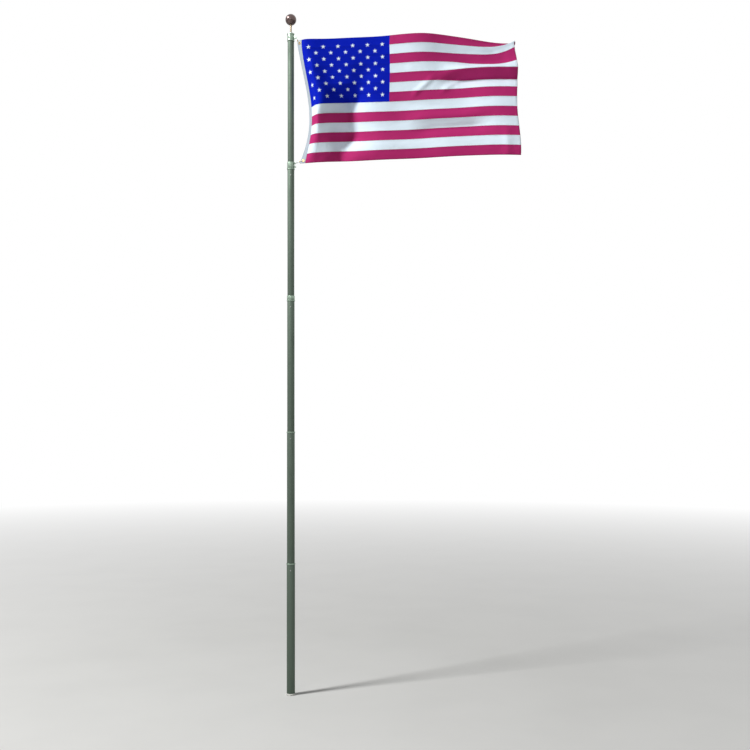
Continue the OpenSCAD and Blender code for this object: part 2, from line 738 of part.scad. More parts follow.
bottom_tube();
second_tube();
third_tube();
fourth_tube();
top_tube();
bottom_tube_rim();
second_tube_rim();
third_tube_rim();
fourth_tube_rim();
bottom_lock_button();
second_lock_button();
third_lock_button();
fourth_lock_button();
bottom_plug();
ground_sleeve_rim();
stop_collar();
cap();
ball_nut();
ball_rod();
ball_ferrule();
ball_lower_half();
ball_upper_half();
top_swivel_ring();
middle_swivel_ring();
spare_swivel_ring();
upper_snap_eye();
upper_snap_hook();
upper_snap_gate();
lower_snap_eye();
lower_snap_hook();
lower_snap_gate();
spare_snap_eye();
spare_snap_hook();
spare_snap_gate();
flag_heading();
flag_field();
upper_grommet();
lower_grommet();
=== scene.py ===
"""Dresses a telescoping flagpole: tubes, ball, swivel rings, snap hooks and flag, on a plain stage.

Sizes are in metres unless a name ends in _MM. The flag's surface is worked out in millimetres.
"""

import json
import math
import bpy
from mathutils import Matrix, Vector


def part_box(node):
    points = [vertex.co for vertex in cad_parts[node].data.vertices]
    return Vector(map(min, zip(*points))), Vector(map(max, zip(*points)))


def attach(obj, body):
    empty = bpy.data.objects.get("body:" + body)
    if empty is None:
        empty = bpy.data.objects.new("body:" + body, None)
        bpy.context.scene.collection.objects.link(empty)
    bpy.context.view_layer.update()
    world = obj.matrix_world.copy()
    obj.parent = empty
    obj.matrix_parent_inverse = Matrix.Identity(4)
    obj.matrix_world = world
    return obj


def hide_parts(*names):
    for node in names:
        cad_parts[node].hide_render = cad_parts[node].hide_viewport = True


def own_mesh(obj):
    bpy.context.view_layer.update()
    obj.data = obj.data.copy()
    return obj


bl_info = {
    "name": "Telescoping Flagpole",
    "version": (1, 0, 0),
    "blender": (4, 5, 0),
    "location": "View3D > Sidebar > Flagpole",
    "description": "Builds the finished pieces of a telescoping flagpole, its snap hooks and its flag",
    "category": "Add Mesh",
}

import bmesh
import bpy
import numpy as np
from mathutils import Matrix, Vector

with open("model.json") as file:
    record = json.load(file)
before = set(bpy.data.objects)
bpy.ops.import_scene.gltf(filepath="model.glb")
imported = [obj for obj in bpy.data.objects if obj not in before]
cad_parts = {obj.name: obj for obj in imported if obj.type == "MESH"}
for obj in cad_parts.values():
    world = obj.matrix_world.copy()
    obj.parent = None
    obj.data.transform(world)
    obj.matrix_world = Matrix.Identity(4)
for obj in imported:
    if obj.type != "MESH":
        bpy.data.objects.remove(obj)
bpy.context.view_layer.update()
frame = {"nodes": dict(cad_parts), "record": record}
MM = 0.001
# Faces round a spun tube or ring, a half of the ball, the ferrule, and the rod or a grommet
TURNS, BALL_TURNS, FERRULE_TURNS, SMALL_TURNS = 128, 160, 96, 64
# Points closer than this, in metres, are one: in a spun piece, and in a copy of a CAD node
SPUN_POINT, CAD_POINT = 1e-7, 2e-6

# Settings


class PoleSettings(bpy.types.PropertyGroup):
    """Finish of the tubes, rims and rings"""

    # This colour is darker and greener than bare satin aluminium: painted shade and a painted reflection of
    # greenery
    aluminium: bpy.props.FloatVectorProperty(
        name="Aluminium", description="Colour of the satin aluminium", subtype="COLOR", size=3, min=0, max=1,
        default=(0.11, 0.145, 0.115))
    draw_line: bpy.props.FloatProperty(
        name="Draw line", description="Spacing of the fine lines that run along the tubes", unit="LENGTH",
        default=0.0012, min=0.0003, max=0.01)
    edge: bpy.props.FloatProperty(
        name="Edge", description="Width of the softened edges on rims and rings", unit="LENGTH",
        default=0.0004, min=0.0001, max=0.001)
    sleeve: bpy.props.FloatVectorProperty(
        name="Sleeve", description="Colour of the ground sleeve", subtype="COLOR", size=3, min=0, max=1,
        default=(0.72, 0.72, 0.68))


class FinialSettings(bpy.types.PropertyGroup):
    """Finish of the ball and what carries it"""

    gold: bpy.props.FloatVectorProperty(
        name="Gold", description="Colour of the anodised ball", subtype="COLOR", size=3, min=0, max=1,
        default=(0.14, 0.1, 0.095))
    brass: bpy.props.FloatVectorProperty(
        name="Brass", description="Colour of the rod and the ferrule", subtype="COLOR", size=3, min=0, max=1,
        default=(0.34, 0.28, 0.2))
    seam: bpy.props.FloatProperty(
        name="Seam", description="Depth of the groove between the ball's two halves", unit="LENGTH",
        default=0.0005, min=0.0001, max=0.002)


class SnapSettings(bpy.types.PropertyGroup):
    """Finish of the snap hooks and grommets"""

    nickel: bpy.props.FloatVectorProperty(
        name="Nickel", description="Colour of the plated snap hooks", subtype="COLOR", size=3, min=0, max=1,
        default=(0.55, 0.56, 0.56))
    grommet: bpy.props.FloatVectorProperty(
        name="Grommet", description="Colour of the grommets", subtype="COLOR", size=3, min=0, max=1,
        default=(0.42, 0.28, 0.1))


class FlagSettings(bpy.types.PropertyGroup):
    """Cloth, seams and stars of the flag"""

    red: bpy.props.FloatVectorProperty(
        name="Red", description="Colour of the red stripes", subtype="COLOR", size=3, min=0, max=1,
        default=(0.46, 0.028, 0.155))
    white: bpy.props.FloatVectorProperty(
        name="White", description="Colour of the white stripes", subtype="COLOR", size=3, min=0, max=1,
        default=(0.78, 0.9, 1.0))
    blue: bpy.props.FloatVectorProperty(
        name="Blue", description="Colour of the canton", subtype="COLOR", size=3, min=0, max=1,
        default=(0.003, 0.014, 0.47))
    # Painted shade: the heading's white canvas is given a darker, bluer colour
    canvas: bpy.props.FloatVectorProperty(
        name="Canvas", description="Colour of the heading", subtype="COLOR", size=3, min=0, max=1,
        default=(0.38, 0.44, 0.5))
    cloth: bpy.props.FloatProperty(
        name="Cloth", description="Thickness of the cloth", unit="LENGTH",
        default=0.0012, min=0.0005, max=0.002)
    star: bpy.props.FloatProperty(
        name="Star", description="Diameter of a star", unit="LENGTH",
        default=0.034, min=0.03, max=0.07)
    fold: bpy.props.FloatProperty(
        name="Fold", description="Share of the drawn folds that the cloth shows", subtype="FACTOR",
        default=1.0, min=0, max=1.5)
    stitch: bpy.props.FloatProperty(
        name="Stitch", description="Length of one stitch in the seams", unit="LENGTH",
        default=0.0032, min=0.001, max=0.01)


class StageSettings(bpy.types.PropertyGroup):
    """Floor, light and camera"""

    floor: bpy.props.FloatVectorProperty(
        name="Floor", description="Colour of the floor", subtype="COLOR", size=3, min=0, max=1,
        default=(0.74, 0.74, 0.72))
    camera_height: bpy.props.FloatProperty(
        name="Camera height", description="Height of the camera over the ground", unit="LENGTH", default=1.95)
    camera_distance: bpy.props.FloatProperty(
        name="Camera distance", description="Distance from the camera to the pole", unit="LENGTH",
        default=7.0)
    camera_side: bpy.props.FloatProperty(
        name="Camera side", description="How far the camera stands to the right of the pole", unit="LENGTH",
        default=0.585)
    lens: bpy.props.FloatProperty(
        name="Lens", description="Focal length in millimetres on a 36 mm sensor", default=48.32)
    shift: bpy.props.FloatProperty(
        name="Shift", description="Vertical shift that keeps the pole upright in the frame", default=0.0523)
    key_light: bpy.props.FloatProperty(
        name="Key light", description="Power of the large lamp at the upper left", unit="POWER", default=3450)
    front_light: bpy.props.FloatProperty(
        name="Front light", description="Power of the wide lamp in front", unit="POWER", default=60)
    sky: bpy.props.FloatProperty(
        name="Sky", description="Strength of the even light from all round", default=0.17)


SETTINGS = {
    "flagpole_pole": PoleSettings,
    "flagpole_finial": FinialSettings,
    "flagpole_snaps": SnapSettings,
    "flagpole_flag": FlagSettings,
    "flagpole_stage": StageSettings,
}

# Materials


class Finish:
    """A node material for one of the pole's finishes, built step by step."""

    def __init__(self, name, color, metallic=0.0, roughness=0.5):
        self.material = bpy.data.materials.new(name)
        self.material.use_nodes = True
        self.tree = self.material.node_tree
        self.surface = self.tree.nodes["Principled BSDF"]
        self.color = (*color, 1.0)
        self.surface.inputs["Metallic"].default_value = metallic
        self.surface.inputs["Roughness"].default_value = roughness
        self.surface.inputs["Base Color"].default_value = self.color
        self.coordinates = None

    def put(self, socket, value):
        """Feeds a socket from another node's output or from a plain value."""
        if isinstance(value, bpy.types.NodeSocket):
            self.tree.links.new(value, socket)
        elif value is not None:
            socket.default_value = value

    def place(self, kind="Object", scale=(1, 1, 1), turn=(0, 0, 0)):
        """Coordinates of the piece, stretched by scale."""
        if self.coordinates is None:
            self.coordinates = self.tree.nodes.new("ShaderNodeTexCoord")
        mapping = self.tree.nodes.new("ShaderNodeMapping")
        mapping.inputs["Scale"].default_value = scale
        mapping.inputs["Rotation"].default_value = turn
        self.tree.links.new(self.coordinates.outputs[kind], mapping.inputs["Vector"])
        return mapping.outputs["Vector"]

    def math(self, operation, a, b=None):
        node = self.tree.nodes.new("ShaderNodeMath")
        node.operation = operation
        for socket, value in zip(node.inputs, (a, b)):
            self.put(socket, value)
        return node.outputs[0]

    def span(self, value, low, high, to_low=0.0, to_high=1.0):
        node = self.tree.nodes.new("ShaderNodeMapRange")
        node.clamp = True
        for socket, number in zip(node.inputs, (value, low, high, to_low, to_high)):
            self.put(socket, number)
        return node.outputs[0]

    def grain(self, scale, detail, rough=0.5, kind="Object", turn=(0, 0, 0)):
        """Noise over the piece, with scale giving its grains to the metre along each axis."""
        node = self.tree.nodes.new("ShaderNodeTexNoise")
        self.put(node.inputs["Vector"], self.place(kind, scale, turn))
        node.inputs["Scale"].default_value = 1.0
        node.inputs["Detail"].default_value = detail
        node.inputs["Roughness"].default_value = rough
        return node.outputs["Fac"]

    def axes(self, where):
        node = self.tree.nodes.new("ShaderNodeSeparateXYZ")
        self.put(node.inputs[0], where)
        return node.outputs

    def mix(self, share, a, b):
        node = self.tree.nodes.new("ShaderNodeMix")
        node.data_type = "RGBA"
        for index, value in ((0, share), (6, a), (7, b)):
            self.put(node.inputs[index], value)
        return node.outputs[2]

    def stitches(self, across, offsets, thread, along, length):
        """Rows of stitches that run with along and lie at the given offsets of across."""
        beat = self.math("PINGPONG", self.math("DIVIDE", along, length), 0.5)
        dash = self.span(beat, *STITCH_END)
        rows = None
        for offset in offsets:
            off = self.math("ABSOLUTE", self.math("SUBTRACT", across, offset))
            row = self.math("MULTIPLY", self.span(off, *thread, 1.0, 0.0), dash)
            rows = row if rows is None else self.math("MAXIMUM", rows, row)
        return rows

    def shade(self, share, darker, low, high):
        """Colours the surface from its own colour to a darker or lighter share of it."""
        worn = tuple(min(1.0, c * darker) for c in self.color[:3]) + (1.0,)
        current = self.surface.inputs["Base Color"]
        before = current.links[0].from_socket if current.links else self.color
        if current.links:
            self.tree.links.remove(current.links[0])
        self.put(current, self.mix(self.span(share, low, high), before, worn))

    def roughen(self, share, low, high):
        self.put(self.surface.inputs["Roughness"], self.span(share, 0.3, 0.7, low, high))

    def bump(self, height, distance):
        node = self.tree.nodes.new("ShaderNodeBump")
        node.inputs["Distance"].default_value = distance
        self.put(node.inputs["Height"], height)
        normal = self.surface.inputs["Normal"]
        if normal.links:
            before = normal.links[0].from_socket
            self.tree.links.remove(normal.links[0])
            self.put(node.inputs["Normal"], before)
        self.put(normal, node.outputs["Normal"])

    def set(self, **values):
        """Sets the shader's own sockets, with spaces written as underscores."""
        for name, value in values.items():
            self.surface.inputs[name.replace("_", " ")].default_value = value


def drawn_aluminium(pole):
    """Satin aluminium of the tubes, with fine lines along their length and faint weather stains."""
    # The tubes' colour holds painted shade and a painted green reflection
    finish = Finish("drawn_aluminium", pole.aluminium, metallic=0.9, roughness=0.55)
    line = 1 / pole.draw_line
    lines = finish.grain((line, line, 2.5), 4)
    stains = finish.grain((18, 18, 3.5), 5, 0.62)
    specks = finish.grain((260, 260, 260), 2)
    finish.shade(lines, 0.86, 0.45, 0.75)
    finish.shade(stains, 0.78, 0.5, 0.8)
    finish.shade(specks, 1.15, 0.66, 0.8)
    finish.roughen(stains, 0.46, 0.64)
    finish.bump(lines, 0.00006)
    finish.set(Anisotropic=0.4)
    return finish.material


def turned_aluminium(pole):
    """Machined aluminium of rims, rings, cap and collar, with fine lines round them."""
    # Made lighter than the tubes, this colour still holds their painted shade and painted green reflection
    finish = Finish("turned_aluminium", tuple(2.6 * c for c in pole.aluminium), metallic=0.9, roughness=0.34)
    rounds = finish.grain((6, 6, 1900), 3)
    marks = finish.grain((70, 70, 70), 5, 0.6)
    nicks = finish.grain((420, 420, 420), 2)
    finish.shade(rounds, 0.88, 0.4, 0.7)
    finish.shade(marks, 0.72, 0.5, 0.8)
    finish.roughen(marks, 0.24, 0.44)
    finish.bump(rounds, 0.00005)
    finish.bump(nicks, 0.00004)
    return finish.material


def gold_anodised(finial):
    """Satin gold of the ball, a little paler where weather has dulled it."""
    finish = Finish("gold_anodised", finial.gold, metallic=0.95, roughness=0.26)
    spin_lines = finish.grain((5, 5, 1500), 3)
    bloom = finish.grain((42, 42, 30), 5, 0.6)
    finish.shade(bloom, 1.35, 0.45, 0.75)
    finish.shade(spin_lines, 0.9, 0.45, 0.75)
    finish.roughen(bloom, 0.2, 0.38)
    finish.bump(spin_lines, 0.00004)
    finish.set(Coat_Weight=0.15, Coat_Roughness=0.2)
    return finish.material


def rod_brass(finial):
    """Brass of the rod and ferrule, drawn along the rod, with brown tarnish."""
    finish = Finish("rod_brass", finial.brass, metallic=1.0, roughness=0.25)
    lines = finish.grain((1600, 1600, 14), 3)
    tarnish = finish.grain((160, 160, 60), 5, 0.65)
    finish.shade(tarnish, 0.5, 0.48, 0.75)
    finish.shade(lines, 0.85, 0.45, 0.75)
    finish.roughen(tarnish, 0.2, 0.46)
    finish.bump(lines, 0.00004)
    return finish.material


def grommet_brass(snaps):
    """Stamped brass of the grommets, with tarnish in patches."""
    finish = Finish("grommet_brass", snaps.grommet, metallic=1.0, roughness=0.3)
    tarnish = finish.grain((230, 230, 230), 5, 0.6)
    dents = finish.grain((700, 700, 700), 2)
    finish.shade(tarnish, 0.55, 0.45, 0.75)
    finish.roughen(tarnish, 0.22, 0.5)
    finish.bump(dents, 0.00006)
    return finish.material


def nickel_plate(snaps):
    """Plated casting of the snap hooks, softly pitted."""
    finish = Finish("nickel_plate", snaps.nickel, metallic=1.0, roughness=0.26)
    pits = finish.grain((900, 900, 900), 3)
    dull = finish.grain((140, 140, 140), 5, 0.6)
    finish.shade(dull, 0.66, 0.45, 0.8)
    finish.roughen(dull, 0.18, 0.42)
    finish.bump(pits, 0.00007)
    return finish.material


def button_steel(snaps):
    """Turned steel of the lock buttons, rubbed bright in the middle."""
    finish = Finish("button_steel", tuple(0.7 * c for c in snaps.nickel), metallic=1.0, roughness=0.3)
    rings = finish.grain((1400, 60, 1400), 3)
    rub = finish.grain((330, 330, 330), 4, 0.6)
    finish.shade(rings, 0.8, 0.45, 0.75)
    finish.roughen(rub, 0.2, 0.45)
    finish.bump(rings, 0.00005)
    return finish.material


# Height in metres up to which the ground soils plastic
SOIL_HEIGHT = 0.012


def moulded_plastic(name, color, soil):
    """Matt plastic with a fine grain, soiled near the ground."""
    finish = Finish(name, color, roughness=0.6)
    grain = finish.grain((1300, 1300, 1300), 3)
    dirt = finish.grain((120, 120, 260), 6, 0.65)
    low = finish.span(finish.axes(finish.place())[2], 0.0, SOIL_HEIGHT, 0.62, 0.35)
    finish.shade(finish.math("MULTIPLY", dirt, finish.math("ADD", low, 0.5)), soil, 0.4, 0.62)
    finish.roughen(dirt, 0.5, 0.75)
    finish.bump(grain, 0.00008)
    return finish.material


# Seams of the flag, in metres: the distances from a seam between which its fell ends, a fell's width as a
# share of the fly's hem, and the rows of stitches beside each seam, before the fly and across the heading
FELL_EDGE = (0.0042, 0.0054)
FELL_TO_HEM = 0.28
SEAM_ROWS = (0.0011, 0.0036)
FLY_ROWS = (0.003, 0.008, 0.013, 0.018)
HEADING_ROWS = (0.0035, 0.0345)
# The distances from its middle between which a thread ends, and the same for a stitch as shares of its length
NYLON_THREAD = (0.0002, 0.0006)
CANVAS_THREAD = (0.0003, 0.0008)
STITCH_END = (0.06, 0.16)
# How far the puckers reach from a seam
PUCKER_REACH = 0.022


def stitched_cloth(name, color, flag):
    """Woven nylon with felled seams between the stripes, stitch rows and puckers along them.

    The cloth's map holds the distance from the hoist and the distance down from the upper edge in metres.
    """
    finish = Finish(name, color, roughness=0.62)
    along, down, _ = finish.axes(finish.place("UV"))
    stripe = HOIST_MM * MM / STRIPES
    beat = finish.math("PINGPONG", finish.math("DIVIDE", down, stripe), 0.5)
    to_seam = finish.math("MULTIPLY", beat, stripe)
    to_fly = finish.math("SUBTRACT", FLY_MM * MM, along)
    edge = finish.math("MINIMUM", to_seam, finish.math("MULTIPLY", to_fly, FELL_TO_HEM))
    fell = finish.span(edge, *FELL_EDGE, 1.0, 0.0)
    threads = finish.math(
        "MAXIMUM", finish.stitches(to_seam, SEAM_ROWS, NYLON_THREAD, along, flag.stitch),
        finish.stitches(to_fly, FLY_ROWS, NYLON_THREAD, down, flag.stitch))
    pucker = finish.grain((75, 26, 1), 3, 0.55, "UV")
    near = finish.span(to_seam, 0.0, PUCKER_REACH, 1.0, 0.25)
    soft = finish.grain((9, 14, 1), 4, 0.6, "UV", (0, 0, 0.5))
    fade = finish.grain((3, 5, 1), 3, kind="UV")
    warp = finish.grain((2600, 300, 1), 2, kind="UV")
    weft = finish.grain((300, 2600, 1), 2, kind="UV")
    # White thread shows less on white cloth
    brighter = 1.12 if max(color) > 0.7 else 1.35
    finish.shade(fell, 0.88, 0.0, 1.0)
    finish.shade(fade, 0.93, 0.4, 0.7)
    finish.shade(threads, brighter, 0.0, 1.0)
    finish.roughen(soft, 0.56, 0.7)
    finish.bump(finish.math("MULTIPLY", pucker, near), 0.0022)
    finish.bump(soft, 0.005)
    finish.bump(fell, 0.0006)
    finish.bump(threads, 0.0006)
    finish.bump(finish.math("ADD", warp, weft), 0.00012)
    finish.set(Sheen_Weight=0.004, Sheen_Roughness=0.45, Specular_IOR_Level=0.02)
    return finish.material


def star_thread(flag):
    """White embroidery of the stars, with its threads lying side by side."""
    finish = Finish("star_thread", tuple(min(1, 1.02 * c) for c in flag.white), roughness=0.5)
    threads = finish.grain((1400, 60, 1), 2, kind="UV", turn=(0, 0, 0.6))
    rub = finish.grain((60, 60, 1), 3, kind="UV")
    finish.shade(threads, 0.82, 0.45, 0.7)
    finish.shade(rub, 0.92, 0.45, 0.7)
    finish.bump(threads, 0.0003)
    finish.set(Sheen_Weight=0.3, Sheen_Roughness=0.4)
    return finish.material


def heading_canvas(flag):
    """Heavy white canvas of the heading in painted shade, with two stitch rows and a coarse plain weave."""
    finish = Finish("heading_canvas", flag.canvas, roughness=0.8)
    along, down, _ = finish.axes(finish.place("UV"))
    warp = finish.grain((1500, 160, 1), 2, kind="UV")
    weft = finish.grain((160, 1500, 1), 2, kind="UV")
    crease = finish.grain((30, 9, 1), 5, 0.6, "UV", (0, 0, 0.3))
    soil = finish.grain((22, 12, 1), 5, 0.6, "UV")
    threads = finish.stitches(along, HEADING_ROWS, CANVAS_THREAD, down, flag.stitch)
    finish.shade(soil, 0.86, 0.45, 0.8)
    finish.shade(threads, 1.1, 0.0, 1.0)
    finish.bump(crease, 0.003)
    finish.bump(threads, 0.0008)
    finish.bump(finish.math("ADD", warp, weft), 0.0003)
    finish.set(Sheen_Weight=0.2, Sheen_Roughness=0.6)
    return finish.material


def dress(obj, material):
    """Gives a piece or a CAD node its material."""
    if obj.material_slots:
        for place in obj.material_slots:
            place.link = "OBJECT"
            place.material = material
    else:
        obj.data.materials.append(material)


# Hard pieces


def new_piece(name, mesh_edit):
    """Links a new mesh object from a bmesh that is then freed."""
    mesh = bpy.data.meshes.new(name)
    mesh_edit.to_mesh(mesh)
    mesh_edit.free()
    piece = bpy.data.objects.new(name, mesh)
    bpy.context.scene.collection.objects.link(piece)
    return piece


def smooth_edges(mesh_edit, angle=32):
    """Shades faces smooth and keeps edges sharper than angle."""
    for face in mesh_edit.faces:
        face.smooth = True
    limit = math.radians(angle)
    for edge in mesh_edit.edges:
        edge.smooth = len(edge.link_faces) == 2 and edge.calc_face_angle(0) < limit


def turned(name, outline, closed=True, steps=TURNS):
    """A piece spun round the pole's axis from an outline of radius and height pairs."""
    edit = bmesh.new()
    line = [edit.verts.new((radius, 0, height)) for radius, height in outline]
    for start, end in zip(line, line[1:] + line[:1] if closed else line[1:]):
        edit.edges.new((start, end))
    bmesh.ops.spin(
        edit, geom=edit.verts[:] + edit.edges[:], cent=(0, 0, 0), axis=(0, 0, 1), dvec=(0, 0, 0),
        angle=math.tau, steps=steps, use_merge=True, use_normal_flip=False, use_duplicate=False)
    bmesh.ops.remove_doubles(edit, verts=edit.verts, dist=SPUN_POINT)
    bmesh.ops.recalc_face_normals(edit, faces=edit.faces)
    smooth_edges(edit)
    return new_piece(name, edit)


def rounded(points, radius, steps=3):
    """An outline with each corner replaced by a small arc."""
    result = []
    count = len(points)
    for i, corner in enumerate(points):
        here = Vector(corner)
        before = Vector(points[i - 1]) - here
        after = Vector(points[(i + 1) % count]) - here
        # Just under half of each side, so that two arcs never meet
        reach = min(radius, before.length / 2.01, after.length / 2.01)
        start, end = here + before.normalized() * reach, here + after.normalized() * reach
        for step in range(steps + 1):
            t = step / steps
            result.append(((1 - t) ** 2 * start + 2 * t * (1 - t) * here + t * t * end)[:])
    return result


def radii(node):
    """Outer radius, lowest and highest point of a CAD node that is turned about the pole."""
    low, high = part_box(node)
    return high.x, low.z, high.z


def body_of_node(node):
    """The body that carries a CAD node."""
    for body, members in frame["record"]["behaviour"]["bodies"].items():
        if node in members:
            return body
    raise RuntimeError(f"no body holds {node}")


def stand_in(piece, node, material):
    """Puts a finished piece in the place of its CAD node, with its material and body."""
    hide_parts(node)
    dress(piece, material)
    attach(piece, body_of_node(node))


# Faces of a CAD node that bend less than this are one face, and edges of its copy that bend less than this
# look round once the sharp ones are softened
FLAT_DEGREES = 1.5
SOFTENED_DEGREES = 50


def ease_node(node, ending, edge, material):
    """Replaces a CAD node by a copy with its faces joined, its edges softened and its round faces smooth."""
    edit = bmesh.new()
    edit.from_mesh(frame["nodes"][node].data)
    bmesh.ops.remove_doubles(edit, verts=edit.verts, dist=CAD_POINT)
    bmesh.ops.dissolve_limit(
        edit, angle_limit=math.radians(FLAT_DEGREES), use_dissolve_boundaries=False, verts=edit.verts,
        edges=edit.edges)
    smooth_edges(edit)
    sharp = [e for e in edit.edges if not e.smooth and len(e.link_faces) == 2 and e.calc_length() > 2 * edge]
    if sharp:
        bmesh.ops.bevel(
            edit, geom=sharp, offset=edge, offset_type="OFFSET", segments=2, profile=0.5, material=-1,
            affect="EDGES", clamp_overlap=True, loop_slide=True)
        smooth_edges(edit, SOFTENED_DEGREES)
    stand_in(new_piece(f"{node}_{ending}", edit), node, material)


TUBES = ("bottom_tube", "second_tube", "third_tube", "fourth_tube", "top_tube")
BUTTONS = ("bottom_lock_button", "second_lock_button", "third_lock_button", "fourth_lock_button")
TUBE_WALL = 1.49 * MM


def rim_outline(tube, edge):
    """The raised rim at a tube's top, drawn in eighths of its height, with a groove near its upper edge."""
    radius, low, high = radii(f"{tube}_rim")
    tube_radius = radii(tube)[0]
    step = (high - low) / 8
    groove = radius - 0.4 * step
    return rounded([
        (tube_radius, low), (radius - step, low), (radius, low + step), (radius, high - 2.2 * step),
        (groove, high - 2 * step), (groove, high - 1.6 * step), (radius, high - 1.4 * step),
        (radius, high - step), (radius - step, high), (tube_radius, high),
    ], edge / 2, 2)


class FLAGPOLE_OT_tubes(bpy.types.Operator):
    """Make the five drawn tubes, their rims and the lock buttons"""

    bl_idname = "flagpole.tubes"
    bl_label = "Tubes"

    def execute(self, context):
        pole = context.scene.flagpole_pole
        drawn = drawn_aluminium(pole)
        rim_finish = turned_aluminium(pole)
        for tube in TUBES:
            radius, low, high = radii(tube)
            inner = radius - TUBE_WALL
            wall = rounded([(inner, low), (radius, low), (radius, high), (inner, high)], pole.edge)
            stand_in(turned(f"{tube}_drawn", wall), tube, drawn)
        for tube in TUBES[:-1]:
            rim = turned(f"{tube}_rim_turned", rim_outline(tube, pole.edge))
            stand_in(rim, f"{tube}_rim", rim_finish)
        steel = button_steel(context.scene.flagpole_snaps)
        for button in BUTTONS:
            ease_node(button, "turned", pole.edge, steel)
        return {"FINISHED"}


PLUG_BLACK = (0.03, 0.03, 0.032)
SLEEVE_CLEARANCE = 0.3 * MM
SLEEVE_SLOPE = 2 * MM
SLEEVE_ROUNDING = 0.8 * MM


class FLAGPOLE_OT_foot(bpy.types.Operator):
    """Finish the bottom plug and the rim of the ground sleeve"""

    bl_idname = "flagpole.foot"
    bl_label = "Foot"

    def execute(self, context):
        plug_plastic = moulded_plastic("plug_plastic", PLUG_BLACK, 2.5)
        dress(frame["nodes"]["bottom_plug"], plug_plastic)
        radius, low, high = radii("ground_sleeve_rim")
        inner = radii("bottom_tube")[0] + SLEEVE_CLEARANCE
        slope = SLEEVE_SLOPE
        sleeve = turned("ground_sleeve_moulded", rounded(
            [(inner, low), (radius, low), (radius, high - slope), (radius - slope, high), (inner, high)],
            SLEEVE_ROUNDING))
        sleeve_plastic = moulded_plastic("sleeve_plastic", context.scene.flagpole_pole.sleeve, 0.45)
        stand_in(sleeve, "ground_sleeve_rim", sleeve_plastic)
        return {"FINISHED"}


def arc(centre_z, radius, start, end, steps):
    """Points of a circle about a height on the axis, with angles in degrees above the equator."""
    points = []
    for step in range(steps + 1):
        angle = math.radians(start + (end - start) * step / steps)
        points.append((radius * math.cos(angle), centre_z + radius * math.sin(angle)))
    return points


BALL_WALL = 1.6 * MM
# Where an arc ends at the ball's top, in degrees: just short of the axis, so that the spun wall closes
BALL_TOP = 89.99
# Gap round the rod and round the cap's plug
FIT = 0.05 * MM
ROD_ROUNDING = 0.5 * MM
FERRULE_STEP, FERRULE_ROUNDING = 1.4 * MM, 0.3 * MM
NUT_EDGE = 0.7 * MM
CAP_STEP, CAP_GROOVE, CAP_CROWN = 1.2 * MM, 0.3 * MM, 3 * MM


def ball_outlines(groove):
    """Walls of the upper and lower half of the ball, with a groove between them and a hole at the ferrule."""
    radius, _, top_z = radii("ball_upper_half")
    middle = top_z - radius
    inside = radius - BALL_WALL
    dip = math.degrees(groove / radius)
    upper = arc(middle, radius, dip, BALL_TOP, 40) + arc(middle, inside, BALL_TOP, dip, 24)
    upper[-1:] = [(inside, middle + groove / 3), (radius - groove, middle + groove / 3)]
    hole = -math.degrees(math.acos(radii("ball_ferrule")[0] / radius)) + 0.05
    lower = arc(middle, radius, hole, -dip, 40)
    lower += [(radius - groove, middle - groove / 3), (inside, middle - groove / 3)]
    lower += arc(middle, inside, -dip, hole + 1, 24)
    return upper, lower


def ferrule_outline(bore):
    """The collar under the ball, with a groove between two bands."""
    radius, low, high = radii("ball_ferrule")
    step = FERRULE_STEP
    groove = radius - 0.6 * step
    return rounded([
        (bore, low), (radius - step, low), (radius, low + step), (radius, low + 3 * step),
        (groove, low + 3.5 * step), (groove, low + 4 * step), (radius, low + 4.5 * step), (radius, high),
        (bore, high),
    ], FERRULE_ROUNDING, 2)


def cap_outline(bore):
    """The cap: a plug inside the top tube, a face that rests on the tube, a fine groove and a round crown."""
    radius, low, high = radii("cap")
    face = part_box("top_tube")[1].z
    plug = radii("top_tube")[0] - TUBE_WALL - FIT
    step = CAP_STEP
    outline = [
        (bore, low), (plug, low), (plug, face), (radius - step, face), (radius, face + step),
        (radius, face + 4 * step), (radius - CAP_GROOVE, face + 4.3 * step), (radius, face + 4.6 * step)]
    for i in range(9):
        angle = math.radians(90 * i / 8)
        outline.append((
            radius - CAP_CROWN + CAP_CROWN * math.cos(angle), high - CAP_CROWN + CAP_CROWN * math.sin(angle)))
    return outline + [(bore, high)]


class FLAGPOLE_OT_finial(bpy.types.Operator):
    """Make the two spun halves of the ball, its ferrule, rod and nut, and the cap"""

    bl_idname = "flagpole.finial"
    bl_label = "Ball and cap"

    def execute(self, context):
        scene = context.scene
        finial, pole = scene.flagpole_finial, scene.flagpole_pole
        gold, brass, rim_finish = gold_anodised(finial), rod_brass(finial), turned_aluminium(pole)
        halves = ("ball_upper_half", "ball_lower_half")
        for node, outline in zip(halves, ball_outlines(finial.seam)):
            stand_in(turned(f"{node}_spun", outline, steps=BALL_TURNS), node, gold)
        radius, low, high = radii("ball_rod")
        bore = radius + FIT
        side = rounded([(0, low), (radius, low), (radius, high), (0, high)], ROD_ROUNDING)
        rod = turned("ball_rod_drawn", side, closed=False, steps=SMALL_TURNS)
        collar = turned("ball_ferrule_turned", ferrule_outline(bore), steps=FERRULE_TURNS)
        stand_in(rod, "ball_rod", brass)
        stand_in(collar, "ball_ferrule", brass)
        ease_node("ball_nut", "turned", NUT_EDGE, nickel_plate(scene.flagpole_snaps))
        stand_in(turned("cap_turned", cap_outline(bore)), "cap", rim_finish)
        return {"FINISHED"}


class FLAGPOLE_OT_rings(bpy.types.Operator):
    """Finish the stop collar and the three swivel rings"""

    bl_idname = "flagpole.rings"
    bl_label = "Rings"

    def execute(self, context):
        pole = context.scene.flagpole_pole
        finish = turned_aluminium(pole)
        for ring in ("stop_collar", "top_swivel_ring", "middle_swivel_ring", "spare_swivel_ring"):
            ease_node(ring, "eased", pole.edge, finish)
        return {"FINISHED"}


SNAP_EDGE = 0.25 * MM


